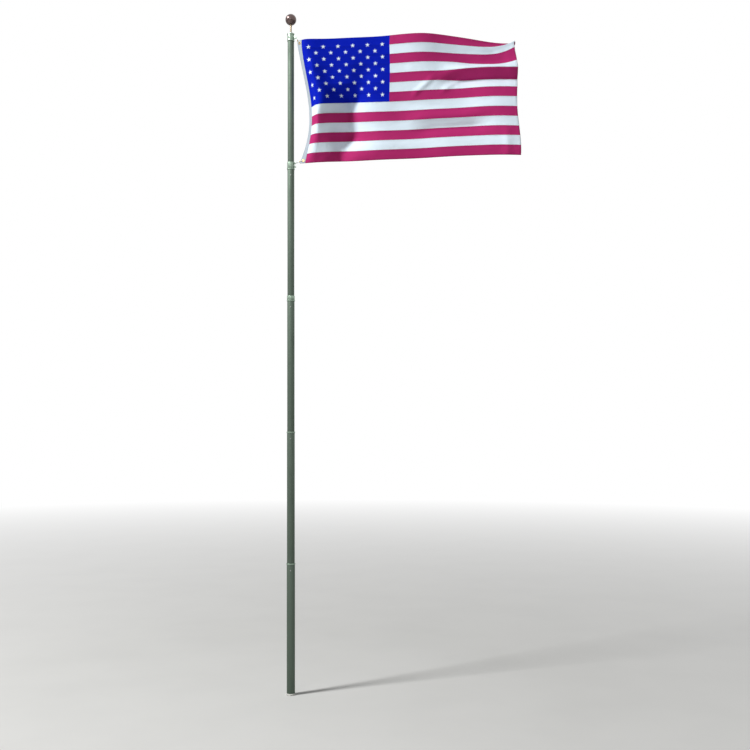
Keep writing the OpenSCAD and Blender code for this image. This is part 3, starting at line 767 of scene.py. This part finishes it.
class FLAGPOLE_OT_snaps(bpy.types.Operator):
    """Finish the three snap hooks with their eyes and gates"""

    bl_idname = "flagpole.snaps"
    bl_label = "Snap hooks"

    def execute(self, context):
        snaps = context.scene.flagpole_snaps
        nickel, brass = nickel_plate(snaps), grommet_brass(snaps)
        for place in ("upper", "lower", "spare"):
            ease_node(f"{place}_snap_eye", "plated", SNAP_EDGE, nickel)
            ease_node(f"{place}_snap_hook", "plated", SNAP_EDGE, nickel)
            ease_node(f"{place}_snap_gate", "plated", SNAP_EDGE, brass)
        return {"FINISHED"}


# The flag's surface

# The flag's own sizes, and the gap between its heading and its field
HOIST_MM = 870.0
FLY_MM = 1536.0
HEADING_MM = 38.0
SEAM_GAP_MM = 0.3
GROMMET_INSET_MM = 20.0
STRIPES = 13
CANTON_STRIPES = 7
CANTON_MM = 614.0
# Distance of a grommet from its end of the hoist, as a share of the hoist
INSET = GROMMET_INSET_MM / HOIST_MM

# How it flies, in millimetres and degrees. A place down the hoist and a width there are shares of the hoist.
# The hoist: its bow towards the fly, the power that moves the bow down, and its belly to the back
HOIST_BOW, BOW_POWER, HOIST_BELLY = 60.0, 1.35, 30.0
# The heading: its direction, its added turn at the upper and lower corner, and how close these keep to it
HEADING_AZIMUTH, UPPER_TURN, LOWER_TURN, CORNER_POWER = -60.0, 30.0, 50.0, 10.0
# The cloth beyond it: azimuth and its change down the hoist, then elevation and its fall down the hoist
FLY_AZIMUTH, FLY_LEAN, FLY_RISE, FLY_FAN = -4.3, -3.6, 3.2, 1.6
# Added elevation at the fly, and its reach
FLY_DROOP = (-3.8, 320.0)
# Run beyond the heading that keeps its direction, and the length of the turn that follows
SEAM_RUN, TURN_LENGTH = 4.0, 30.0
# The hollow beside the hoist: added run, added angle, place down the hoist and width, and its run-in
POCKET = (60.0, 7.3, 0.49, 0.28)
POCKET_EASE = 60.0
# Share of the threads that ripples take up, then distance from the hoist, reach, place down it and width
SLACK = (0.11, 456.0, 294.0, 0.64, 0.31)
# Long waves: angle, length, lean and phase, and the share by which they calm down the hoist
WAVES = ((5.0, 900.0, 0.3, 70.0), (4.6, 430.0, -0.5, 35.0))
WAVE_CALM = 0.5
# A fold near the hoist: angle, distance, reach, and reach added at the upper edge
NEAR_FOLD = (8.0, 250.0, 110.0, 150.0)
# A fold further out: angle, distance, reach, place down the hoist and width
MIDDLE_FOLD = (9.0, 420.0, 165.0, 0.5, 0.4)
# The upper fly corner, from this distance on. Ridge: angle, place down the hoist and width. Sink and curl of
# the edge: angle and width. Tip and flick: angle, reach from the fly, place down the hoist and width
CORNER_START = 850.0
CORNER_RIDGE = (12.4, 0.15, 0.13)
CORNER_SINK = (-7.6, 0.18)
CORNER_CURL = (12.2, 0.06)
CORNER_TIP = (25.0, 200.0, 0.11, 0.055)
CORNER_FLICK = (23.2, 132.0, 0.194, 0.056)

# Smaller folds, in millimetres: start and end as distance from the hoist and distance down it, width and
# height. A positive height comes to the front. An end beyond the cloth lets a fold run out over the edge.
FOLDS = (
    (1040, 205, 1800, 196, 34, -20),
    (960, 266, 1800, 258, 32, 16),
    (960, 344, 1800, 334, 36, -30),
)
# The same for folds that lean towards LEAN_PLACE, where the camera stands, and not along the cloth's normal,
# so that they shade the cloth and leave its stripes where they are in the photograph
LEANING_FOLDS = (
    (-10, 960, 115, 370, 70, 30),
    (195, 540, 50, 110, 66, 36),
    (352, 320, 356, 860, 150, -46),
    (353, 330, 357, 780, 60, -24),
    (356, 390, 359, 740, 20, -13),
    (372, 640, 240, 980, 60, -28),
    (350, 600, 215, 960, 110, -22),
    (330, 560, 520, 160, 80, -24),
    (980, 254, 1800, 246, 36, 24),
    (960, 334, 1800, 324, 36, -26),
    (800, 450, 980, 290, 20, 9),
    (1000, 430, 1190, 290, 20, 9),
    (600, 150, 800, 250, 24, -5),
    (700, 590, 1380, 578, 34, 19),
    (760, 684, 1400, 668, 34, -22),
    (1290, 30, 1410, 150, 20, -4),
    (1455, 640, 1440, 930, 30, 5),
    (1480, 120, 1490, 420, 24, 4),
    (430, 740, 900, 800, 36, 5),
    (640, 470, 1060, 520, 26, -4),
)
LEAN_PLACE = (585, -7000, 1950)
# Share of a fold's length over which each of its ends fades
FOLD_END = 0.28
# Distance from the hoist at which the smaller folds begin, and the run over which they rise to their height
FOLDS_BEGIN_MM, FOLDS_RISE_MM = 46.0, 64.0
# Spacing of the surface's grid along the threads, and its rows to a stripe
GRID_STEP_MM, GRID_ROWS = 3.0, 24


def sine(angle):
    return np.sin(np.radians(angle))


def bell(x):
    return np.exp(-np.square(x))


def towards(azimuth, elevation=0.0):
    """Unit vectors, the last axis holding x, y and z."""
    a, e = np.radians(azimuth), np.radians(elevation)
    return np.stack(np.broadcast_arrays(np.cos(e) * np.cos(a), np.cos(e) * np.sin(a), np.sin(e)), axis=-1)


def node_centre(node):
    low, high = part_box(node)
    return np.array((low + high) / 2) / MM


UPPER_GROMMET = node_centre("upper_grommet")
LOWER_GROMMET = node_centre("lower_grommet")


def heading_turn(v):
    return HEADING_AZIMUTH + UPPER_TURN * (1 - v) ** CORNER_POWER + LOWER_TURN * v ** CORNER_POWER


def hoist_at(v):
    """The line through the grommets, v running down the hoist from 0 to 1."""
    t = (v - INSET) / (1 - 2 * INSET)
    bow = HOIST_BOW * sine(180 * np.maximum(t, 0) ** BOW_POWER)
    belly = HOIST_BELLY * sine(180 * t)
    line = UPPER_GROMMET + np.multiply.outer(t, LOWER_GROMMET - UPPER_GROMMET)
    return line + np.stack([bow, belly, np.zeros_like(bow)], axis=-1)


def hoist_edge(v):
    return hoist_at(v) - HEADING_MM / 2 * towards(heading_turn(v))


def patch(s, v, place, reach, down, width):
    """1 at a place on the cloth, falling to 0 around it."""
    return bell((s - place) / reach) * bell((v - down) / width)


def thread_turn(s, v):
    """Azimuth and elevation of the thread at distance s from the hoist, and the share that ripples leave."""
    corner = np.where(s < CORNER_START, 0.0, sine(180 * (s - CORNER_START) / (FLY_MM - CORNER_START)))
    fly = FLY_AZIMUTH + FLY_LEAN * (v - 0.5)
    angle, place, reach, upper_reach = NEAR_FOLD
    fly = fly + angle * bell((s - place) / (reach + upper_reach * (1 - v)))
    angle, *spot = MIDDLE_FOLD
    fly = fly + angle * patch(s, v, *spot)
    for angle, length, lean, phase in WAVES:
        fly = fly + angle * (1 - WAVE_CALM * v) * sine(360 * (s / length + lean * v) + phase)
    angle, down, width = CORNER_RIDGE
    fly = fly + angle * corner * bell((v - down) / width)
    angle, width = CORNER_CURL
    fly = fly + angle * corner * bell(v / width)
    added_run, ease_angle, down, width = POCKET
    pocket = bell((v - down) / width)
    past = s - HEADING_MM - SEAM_RUN
    rest = np.exp(-np.maximum(past - added_run * pocket, 0) / TURN_LENGTH)
    eased = heading_turn(v) + ease_angle * pocket * np.clip((s - HEADING_MM) / POCKET_EASE, 0, 1)
    azimuth = eased * rest + fly * (1 - rest)
    angle, reach = FLY_DROOP
    elevation = FLY_RISE - FLY_FAN * v + angle * bell((s - FLY_MM) / reach)
    angle, width = CORNER_SINK
    elevation = elevation + angle * corner * bell(v / width)
    for angle, *spot in (CORNER_TIP, CORNER_FLICK):
        elevation = elevation + angle * patch(s, v, FLY_MM, *spot)
    loss, *spot = SLACK
    return azimuth, np.where(past < 0, 0.0, elevation), 1 - loss * patch(s, v, *spot)


def fold_depth(s, down, folds):
    """How far the given folds move the cloth towards the front."""
    depth = np.zeros(np.broadcast(s, down).shape)
    for s0, d0, s1, d1, width, height in folds:
        run = (s1 - s0, d1 - d0)
        length = math.hypot(*run)
        t = ((s - s0) * run[0] + (down - d0) * run[1]) / length ** 2
        off = ((s - s0) * run[1] - (down - d0) * run[0]) / length
        near_end = np.clip(np.minimum(t, 1 - t) / FOLD_END, 0, 1)
        depth += height * bell(off / width) * sine(90 * near_end) ** 2
    return depth


class Cloth:
    """The flag's middle surface on a grid of s along the threads and v down the hoist."""

    def __init__(self, share):
        step = GRID_STEP_MM
        before = np.arange(0, HEADING_MM, step / 2)
        beyond = np.linspace(HEADING_MM, FLY_MM, int((FLY_MM - HEADING_MM) / step) + 1)
        self.s = np.concatenate([before, beyond])
        self.v = np.linspace(0, 1, STRIPES * GRID_ROWS + 1)
        v = self.v[:, None]
        middle = (self.s[1:] + self.s[:-1]) / 2
        azimuth, elevation, left = thread_turn(middle[None, :], v)
        moves = towards(azimuth, elevation) * (left * np.diff(self.s))[..., None]
        start = hoist_edge(self.v)[:, None, :]
        flat = np.concatenate([start, start + np.cumsum(moves, axis=1)], axis=1)
        calm = share * np.clip((self.s - FOLDS_BEGIN_MM) / FOLDS_RISE_MM, 0, 1)[None, :]
        lean = np.array(LEAN_PLACE) - flat
        lean = lean / np.linalg.norm(lean, axis=-1, keepdims=True)
        straight = calm * fold_depth(self.s[None, :], v * HOIST_MM, FOLDS)
        leaning = calm * fold_depth(self.s[None, :], v * HOIST_MM, LEANING_FOLDS)
        self.points = flat + self.normals_of(flat) * straight[..., None] + lean * leaning[..., None]
        self.normals = self.normals_of(self.points)

    @staticmethod
    def normals_of(points):
        """Unit normals that point to the front."""
        along = np.gradient(points, axis=1)
        down = np.gradient(points, axis=0)
        normal = np.cross(down, along)
        return normal / np.linalg.norm(normal, axis=-1, keepdims=True)

    def at(self, s, v):
        """Point and normal at a place on the cloth, in metres."""
        column = np.interp(s, self.s, np.arange(len(self.s)))
        row = np.clip(v, 0, 1) * (len(self.v) - 1)
        i, j = int(min(column, len(self.s) - 2)), int(min(row, len(self.v) - 2))
        a, b = column - i, row - j
        found = []
        for grid in (self.points, self.normals):
            upper = grid[j, i] * (1 - a) + grid[j, i + 1] * a
            lower = grid[j + 1, i] * (1 - a) + grid[j + 1, i + 1] * a
            found.append(upper * (1 - b) + lower * b)
        return Vector(found[0]) * MM, Vector(found[1]).normalized()


cloth_made = {}


def cloth(flag):
    """The flag's surface, worked out on first use."""
    if "surface" not in cloth_made:
        cloth_made["surface"] = Cloth(flag.fold)
    return cloth_made["surface"]


def laid_grid(surface, s_values, v_values, keep=None):
    """A grid on the cloth between the given distances, with a map in metres."""
    edit = bmesh.new()
    bmesh.ops.create_grid(
        edit, x_segments=len(s_values) - 1, y_segments=len(v_values) - 1, size=1.0, calc_uvs=False)
    layer = edit.loops.layers.uv.new("Cloth")
    places = {}
    for vertex in edit.verts:
        i = round((vertex.co.x + 1) / 2 * (len(s_values) - 1))
        j = round((vertex.co.y + 1) / 2 * (len(v_values) - 1))
        places[vertex] = (s_values[i], v_values[j])
    for face in edit.faces:
        for loop in face.loops:
            s, v = places[loop.vert]
            loop[layer].uv = (s * MM, v * HOIST_MM * MM)
        face.smooth = True
    if keep is not None:
        gone = [vertex for vertex, place in places.items() if not keep(*place)]
        for vertex in gone:
            del places[vertex]
        bmesh.ops.delete(edit, geom=gone, context="VERTS")
    for vertex, (s, v) in places.items():
        vertex.co = surface.at(s, v)[0]
    edit.normal_update()
    edit.faces.ensure_lookup_table()
    first = edit.faces[0]
    if first.normal.dot(surface.at(*places[first.verts[0]])[1]) < 0:
        bmesh.ops.reverse_faces(edit, faces=edit.faces)
    return edit


def thicken(piece, thickness):
    """Gives a sheet its thickness, half to each side, and keeps the result as its mesh."""
    wall = piece.modifiers.new("Thickness", "SOLIDIFY")
    wall.thickness = thickness
    wall.offset = 0
    wall.use_even_offset = False
    wall.use_rim = True
    graph = bpy.context.evaluated_depsgraph_get()
    made = bpy.data.meshes.new_from_object(piece.evaluated_get(graph))
    piece.modifiers.clear()
    piece.data = made


def even_steps(start, end, step):
    return list(np.linspace(start, end, max(1, round((end - start) / step)) + 1))


# Faces of the field: length along the threads in millimetres, and rows to a stripe
FIELD_STEP_MM, FIELD_ROWS = 6, 9


class FLAGPOLE_OT_field(bpy.types.Operator):
    """Sew the flag's stripes and canton into one sheet"""

    bl_idname = "flagpole.field"
    bl_label = "Stripes and canton"

    def execute(self, context):
        flag = context.scene.flagpole_flag
        canton_end = HEADING_MM + CANTON_MM
        s_values = even_steps(HEADING_MM + SEAM_GAP_MM, canton_end, FIELD_STEP_MM)[:-1]
        s_values += even_steps(canton_end, FLY_MM, FIELD_STEP_MM)
        v_values = list(np.linspace(0, 1, STRIPES * FIELD_ROWS + 1))
        edit = laid_grid(cloth(flag), s_values, v_values)
        layer = edit.loops.layers.uv["Cloth"]
        for face in edit.faces:
            middle = sum((loop[layer].uv for loop in face.loops), Vector((0, 0))) / len(face.loops)
            stripe = int(middle.y / (HOIST_MM * MM) * STRIPES)
            if stripe < CANTON_STRIPES and middle.x < canton_end * MM:
                face.material_index = 2
            else:
                face.material_index = stripe % 2
        field = new_piece("flag_field_sewn", edit)
        for name, color in (("red_nylon", flag.red), ("white_nylon", flag.white), ("blue_nylon", flag.blue)):
            field.data.materials.append(stitched_cloth(name, color, flag))
        thicken(field, flag.cloth)
        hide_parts("flag_field")
        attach(field, "top_swivel")
        return {"FINISHED"}


STAR_ROWS, STAR_COLUMNS = 9, 11
# Height of the first row under the canton's top and of each next row, as shares of the canton's height
STAR_FIRST_ROW, STAR_ROW_PITCH = 0.129, 0.0955
# How far the embroidery rises from its base, and how far the base stands off the cloth
STAR_RISE, STAR_BASE = 0.45 * MM, 0.1 * MM
# Angle between a star's points, and its notches' distance from the middle as a share of the points'
STAR_ANGLE = 72
STAR_NOTCH = math.sin(math.radians(18)) / math.sin(math.radians(126))


def star_places():
    """The staggered rows of stars: distance from the hoist and down it, in millimetres."""
    high = HOIST_MM * CANTON_STRIPES / STRIPES
    for row in range(STAR_ROWS):
        for column in range(STAR_COLUMNS):
            if (row + column) % 2 == 0:
                yield (HEADING_MM + CANTON_MM * (column + 1) / (STAR_COLUMNS + 1),
                       high * (STAR_FIRST_ROW + STAR_ROW_PITCH * row))


def star_outline(edit, size_mm):
    """A flat five-pointed star with its first point up, as a fan of small faces."""
    made = bmesh.ops.create_circle(edit, cap_ends=True, cap_tris=True, segments=10, radius=size_mm / 2)
    verts = made["verts"]
    for vertex in verts:
        if vertex.co.length > size_mm / 4:
            angle = math.degrees(math.atan2(vertex.co.x, vertex.co.y)) % STAR_ANGLE
            if abs(angle - STAR_ANGLE / 2) < STAR_ANGLE / 4:
                vertex.co *= STAR_NOTCH
    edges = {edge for vertex in verts for edge in vertex.link_edges}
    bmesh.ops.subdivide_edges(edit, edges=list(edges), cuts=2, use_grid_fill=True)


def sew_star(edit, pattern, surface, flag, place, side):
    """Adds a star with a raised middle at a place on the cloth, on its front (1) or its back (-1)."""
    across, down = place
    half_mm = flag.star / MM / 2
    known = set(edit.verts)
    edit.from_mesh(pattern)
    layer = edit.loops.layers.uv["Cloth"]
    fresh = [vertex for vertex in edit.verts if vertex not in known]
    places = {}
    for vertex in fresh:
        places[vertex] = (across + vertex.co.x, down - vertex.co.y)
    for vertex, (s, d) in places.items():
        # A quarter of the height at the star's five tips, and all of it from a fifth of the way in
        rise = STAR_RISE * min(1.0, (1 - vertex.co.length / half_mm) * 4 + 0.25)
        point, normal = surface.at(s, d / HOIST_MM)
        vertex.co = point + normal * side * (flag.cloth / 2 + STAR_BASE + rise)
    outwards = surface.at(across, down / HOIST_MM)[1] * side
    for face in {face for vertex in fresh for face in vertex.link_faces}:
        for loop in face.loops:
            s, d = places[loop.vert]
            loop[layer].uv = (s * MM, d * MM)
        face.normal_update()
        if face.normal.dot(outwards) < 0:
            face.normal_flip()
        face.smooth = True


class FLAGPOLE_OT_stars(bpy.types.Operator):
    """Embroider fifty stars on both sides of the canton"""

    bl_idname = "flagpole.stars"
    bl_label = "Stars"

    def execute(self, context):
        flag = context.scene.flagpole_flag
        star = bmesh.new()
        star_outline(star, flag.star / MM)
        pattern = bpy.data.meshes.new("star_plain")
        star.to_mesh(pattern)
        star.free()
        edit = bmesh.new()
        edit.loops.layers.uv.new("Cloth")
        for place in star_places():
            for side in (1, -1):
                sew_star(edit, pattern, cloth(flag), flag, place, side)
        bpy.data.meshes.remove(pattern)
        stars = new_piece("flag_stars_sewn", edit)
        dress(stars, star_thread(flag))
        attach(stars, "top_swivel")
        return {"FINISHED"}


# Faces of the heading: their length across it and down it
HEADING_STEP_MM, HEADING_ROW_MM = 1.9, 2
CANVAS_THICKNESS = 2.4 * MM
# Radius of the hole in the canvas at a grommet, then the grommet's own radius, its hole's and half its height
CANVAS_HOLE_MM = 7.0
GROMMET_FLANGE, GROMMET_HOLE, GROMMET_HALF = 9.75 * MM, 4.5 * MM, 2.0 * MM


def clear_of_grommets(s, v):
    """True for the places on the heading that lie outside both grommets' holes."""
    near = min(abs(v - INSET), abs(v - 1 + INSET)) * HOIST_MM
    return math.hypot(s - HEADING_MM / 2, near) > CANVAS_HOLE_MM


def grommet_outline():
    """A grommet's section: a rolled hole and two flanges that thin towards the rim."""
    flange, hole, half = GROMMET_FLANGE, GROMMET_HOLE, GROMMET_HALF
    front = [
        (hole, 0.0), (hole + 0.05 * MM, 1.1 * MM), (hole + 0.5 * MM, 1.75 * MM), (hole + 1.3 * MM, half),
        (flange - 1.6 * MM, half * 0.93), (flange - 0.5 * MM, half * 0.86), (flange, half * 0.72)]
    return front + [(radius, -height) for radius, height in front[:0:-1]]


def grommet_place(surface, node, v):
    """The turn and place that set a grommet flat into the heading at v down the hoist."""
    above, below = surface.at(HEADING_MM / 2, v - 0.01)[0], surface.at(HEADING_MM / 2, v + 0.01)[0]
    along = Vector(towards(np.array(heading_turn(v))))
    normal = along.cross(below - above).normalized()
    up = normal.cross(along).normalized()
    turn = Matrix((along, up, normal)).transposed().to_4x4()
    return Matrix.Translation(Vector(node_centre(node)) * MM) @ turn


class FLAGPOLE_OT_heading(bpy.types.Operator):
    """Fold the canvas heading along the hoist and set its two grommets"""

    bl_idname = "flagpole.heading"
    bl_label = "Heading and grommets"

    def execute(self, context):
        scene = context.scene
        flag = scene.flagpole_flag
        surface = cloth(flag)
        s_values = even_steps(0, HEADING_MM - SEAM_GAP_MM, HEADING_STEP_MM)
        v_values = even_steps(0, 1, HEADING_ROW_MM / HOIST_MM)
        edit = laid_grid(surface, s_values, v_values, keep=clear_of_grommets)
        heading = new_piece("flag_heading_folded", edit)
        thicken(heading, CANVAS_THICKNESS)
        dress(heading, heading_canvas(flag))
        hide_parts("flag_heading")
        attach(heading, "top_swivel")
        brass = grommet_brass(scene.flagpole_snaps)
        for node, v in (("upper_grommet", INSET), ("lower_grommet", 1 - INSET)):
            grommet = turned(f"{node}_set", grommet_outline(), steps=SMALL_TURNS)
            grommet.data.transform(grommet_place(surface, node, v))
            stand_in(grommet, node, brass)
        return {"FINISHED"}


class FLAGPOLE_OT_hang(bpy.types.Operator):
    bl_idname = "flagpole.hang"
    bl_label = "Hang the flag"

    def execute(self, context):
        names = ("flag_field_sewn", "flag_stars_sewn", "flag_heading_folded")
        field, stars, heading = (bpy.data.objects[name] for name in names)
        for piece in (field, stars, heading):
            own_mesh(piece)
        return {"FINISHED"}


# Stage

# Sizes of the stage in metres: the floor and how far it lies under the object, so that no faces coincide, and
# the distances between which it fades to white
FLOOR_RADIUS, FLOOR_DROP = 60, 0.5 * MM
WHITE_FROM, WHITE_AT = 2.0, 16.0
# Each lamp's place, the point that it aims at, and its diameter
KEY_LAMP = ((-12.2, -6.6, 13.6), (0.7, 0, 3.8), 3.5)
FRONT_LAMP = ((-2.0, -8.0, 6.0), (0.3, 0, 2.6), 4.0)
# The camera's sensor width, and how far it sees in metres
SENSOR_MM = 36
VIEW_END = 200


def lay_floor(color):
    """A round matt floor that fades to plain white further out, for the camera alone."""
    edit = bmesh.new()
    bmesh.ops.create_circle(edit, cap_ends=True, segments=96, radius=FLOOR_RADIUS)
    floor = new_piece("stage_floor", edit)
    matt = Finish("stage_floor_matt", color, roughness=0.9)
    matt.shade(matt.grain((1.5, 1.5, 1.5), 4), 0.97, 0.4, 0.7)
    across, deep, _ = matt.axes(matt.place())
    square = matt.math("ADD", matt.math("POWER", across, 2.0), matt.math("POWER", deep, 2.0))
    far = matt.span(matt.math("SQRT", square), WHITE_FROM, WHITE_AT)
    rays = matt.tree.nodes.new("ShaderNodeLightPath")
    white = matt.tree.nodes.new("ShaderNodeEmission")
    fade = matt.tree.nodes.new("ShaderNodeMixShader")
    matt.put(fade.inputs[0], matt.math("MULTIPLY", far, rays.outputs["Is Camera Ray"]))
    matt.put(fade.inputs[1], matt.surface.outputs[0])
    matt.put(fade.inputs[2], white.outputs[0])
    matt.put(matt.tree.nodes["Material Output"].inputs["Surface"], fade.outputs[0])
    floor.data.materials.append(matt.material)
    floor.location.z = -FLOOR_DROP


def light_all_round(scene, sky):
    """Even light from all round, which the camera and shining surfaces see as plain white."""
    world = bpy.data.worlds.new("plain_white")
    world.use_nodes = True
    tree = world.node_tree
    background = tree.nodes["Background"]
    rays = tree.nodes.new("ShaderNodeLightPath")
    seen = rays.outputs["Is Camera Ray"]
    for kind in ("Is Glossy Ray", "Is Transmission Ray"):
        either = tree.nodes.new("ShaderNodeMath")
        either.operation = "MAXIMUM"
        tree.links.new(seen, either.inputs[0])
        tree.links.new(rays.outputs[kind], either.inputs[1])
        seen = either.outputs[0]
    strength = tree.nodes.new("ShaderNodeMapRange")
    strength.inputs["To Min"].default_value = sky
    strength.inputs["To Max"].default_value = 1.0
    tree.links.new(seen, strength.inputs["Value"])
    tree.links.new(strength.outputs[0], background.inputs["Strength"])
    background.inputs["Color"].default_value = (1, 1, 1, 1)
    scene.world = world


def hang_lamp(scene, name, power, place, aim, size):
    """A round lamp at a place, turned to the point that it aims at."""
    light = bpy.data.lights.new(name, "AREA")
    light.energy = power
    light.shape = "DISK"
    light.size = size
    lamp = bpy.data.objects.new(name, light)
    scene.collection.objects.link(lamp)
    lamp.location = place
    lamp.rotation_euler = (Vector(aim) - Vector(place)).to_track_quat("-Z", "Y").to_euler()


def set_camera(scene, stage):
    """The photograph's view: an upright camera whose shift keeps the pole upright in the frame."""
    lens = bpy.data.cameras.new("front_camera")
    lens.sensor_width = SENSOR_MM
    lens.lens = stage.lens
    lens.shift_y = stage.shift
    lens.clip_end = VIEW_END
    camera = bpy.data.objects.new("front_camera", lens)
    scene.collection.objects.link(camera)
    camera.location = (stage.camera_side, -stage.camera_distance, stage.camera_height)
    camera.rotation_euler = (math.radians(90), 0, 0)
    scene.camera = camera


class FLAGPOLE_OT_stage(bpy.types.Operator):
    """Lay the floor, hang the lamps and set the camera"""

    bl_idname = "flagpole.stage"
    bl_label = "Stage"

    def execute(self, context):
        scene = context.scene
        stage = scene.flagpole_stage
        lay_floor(stage.floor)
        light_all_round(scene, stage.sky)
        hang_lamp(scene, "key_lamp", stage.key_light, *KEY_LAMP)
        hang_lamp(scene, "front_lamp", stage.front_light, *FRONT_LAMP)
        set_camera(scene, stage)
        scene.view_settings.view_transform = "Standard"
        return {"FINISHED"}


STEPS = (
    FLAGPOLE_OT_tubes, FLAGPOLE_OT_foot, FLAGPOLE_OT_finial, FLAGPOLE_OT_rings, FLAGPOLE_OT_snaps,
    FLAGPOLE_OT_field, FLAGPOLE_OT_stars, FLAGPOLE_OT_heading, FLAGPOLE_OT_hang, FLAGPOLE_OT_stage,
)


class FLAGPOLE_PT_build(bpy.types.Panel):
    """Lists the steps that build the flagpole"""

    bl_idname = "FLAGPOLE_PT_build"
    bl_label = "Flagpole"
    bl_space_type = "VIEW_3D"
    bl_region_type = "UI"
    bl_category = "Flagpole"

    def draw(self, context):
        for step in STEPS:
            self.layout.operator(step.bl_idname)
        for name in SETTINGS:
            box = self.layout.box()
            group = getattr(context.scene, name)
            for prop in group.bl_rna.properties:
                if prop.identifier not in ("rna_type", "name"):
                    box.prop(group, prop.identifier)


def register():
    for name, group in SETTINGS.items():
        bpy.utils.register_class(group)
        setattr(bpy.types.Scene, name, bpy.props.PointerProperty(type=group))
    for step in STEPS:
        bpy.utils.register_class(step)
    bpy.utils.register_class(FLAGPOLE_PT_build)


def unregister():
    bpy.utils.unregister_class(FLAGPOLE_PT_build)
    for step in reversed(STEPS):
        bpy.utils.unregister_class(step)
    for name, group in SETTINGS.items():
        delattr(bpy.types.Scene, name)
        bpy.utils.unregister_class(group)


def main():
    register()
    bpy.ops.flagpole.tubes()
    bpy.ops.flagpole.foot()
    bpy.ops.flagpole.finial()
    bpy.ops.flagpole.rings()
    bpy.ops.flagpole.snaps()
    bpy.ops.flagpole.field()
    bpy.ops.flagpole.stars()
    bpy.ops.flagpole.heading()
    bpy.ops.flagpole.hang()
    bpy.ops.flagpole.stage()


if __name__ == "__main__":
    main()
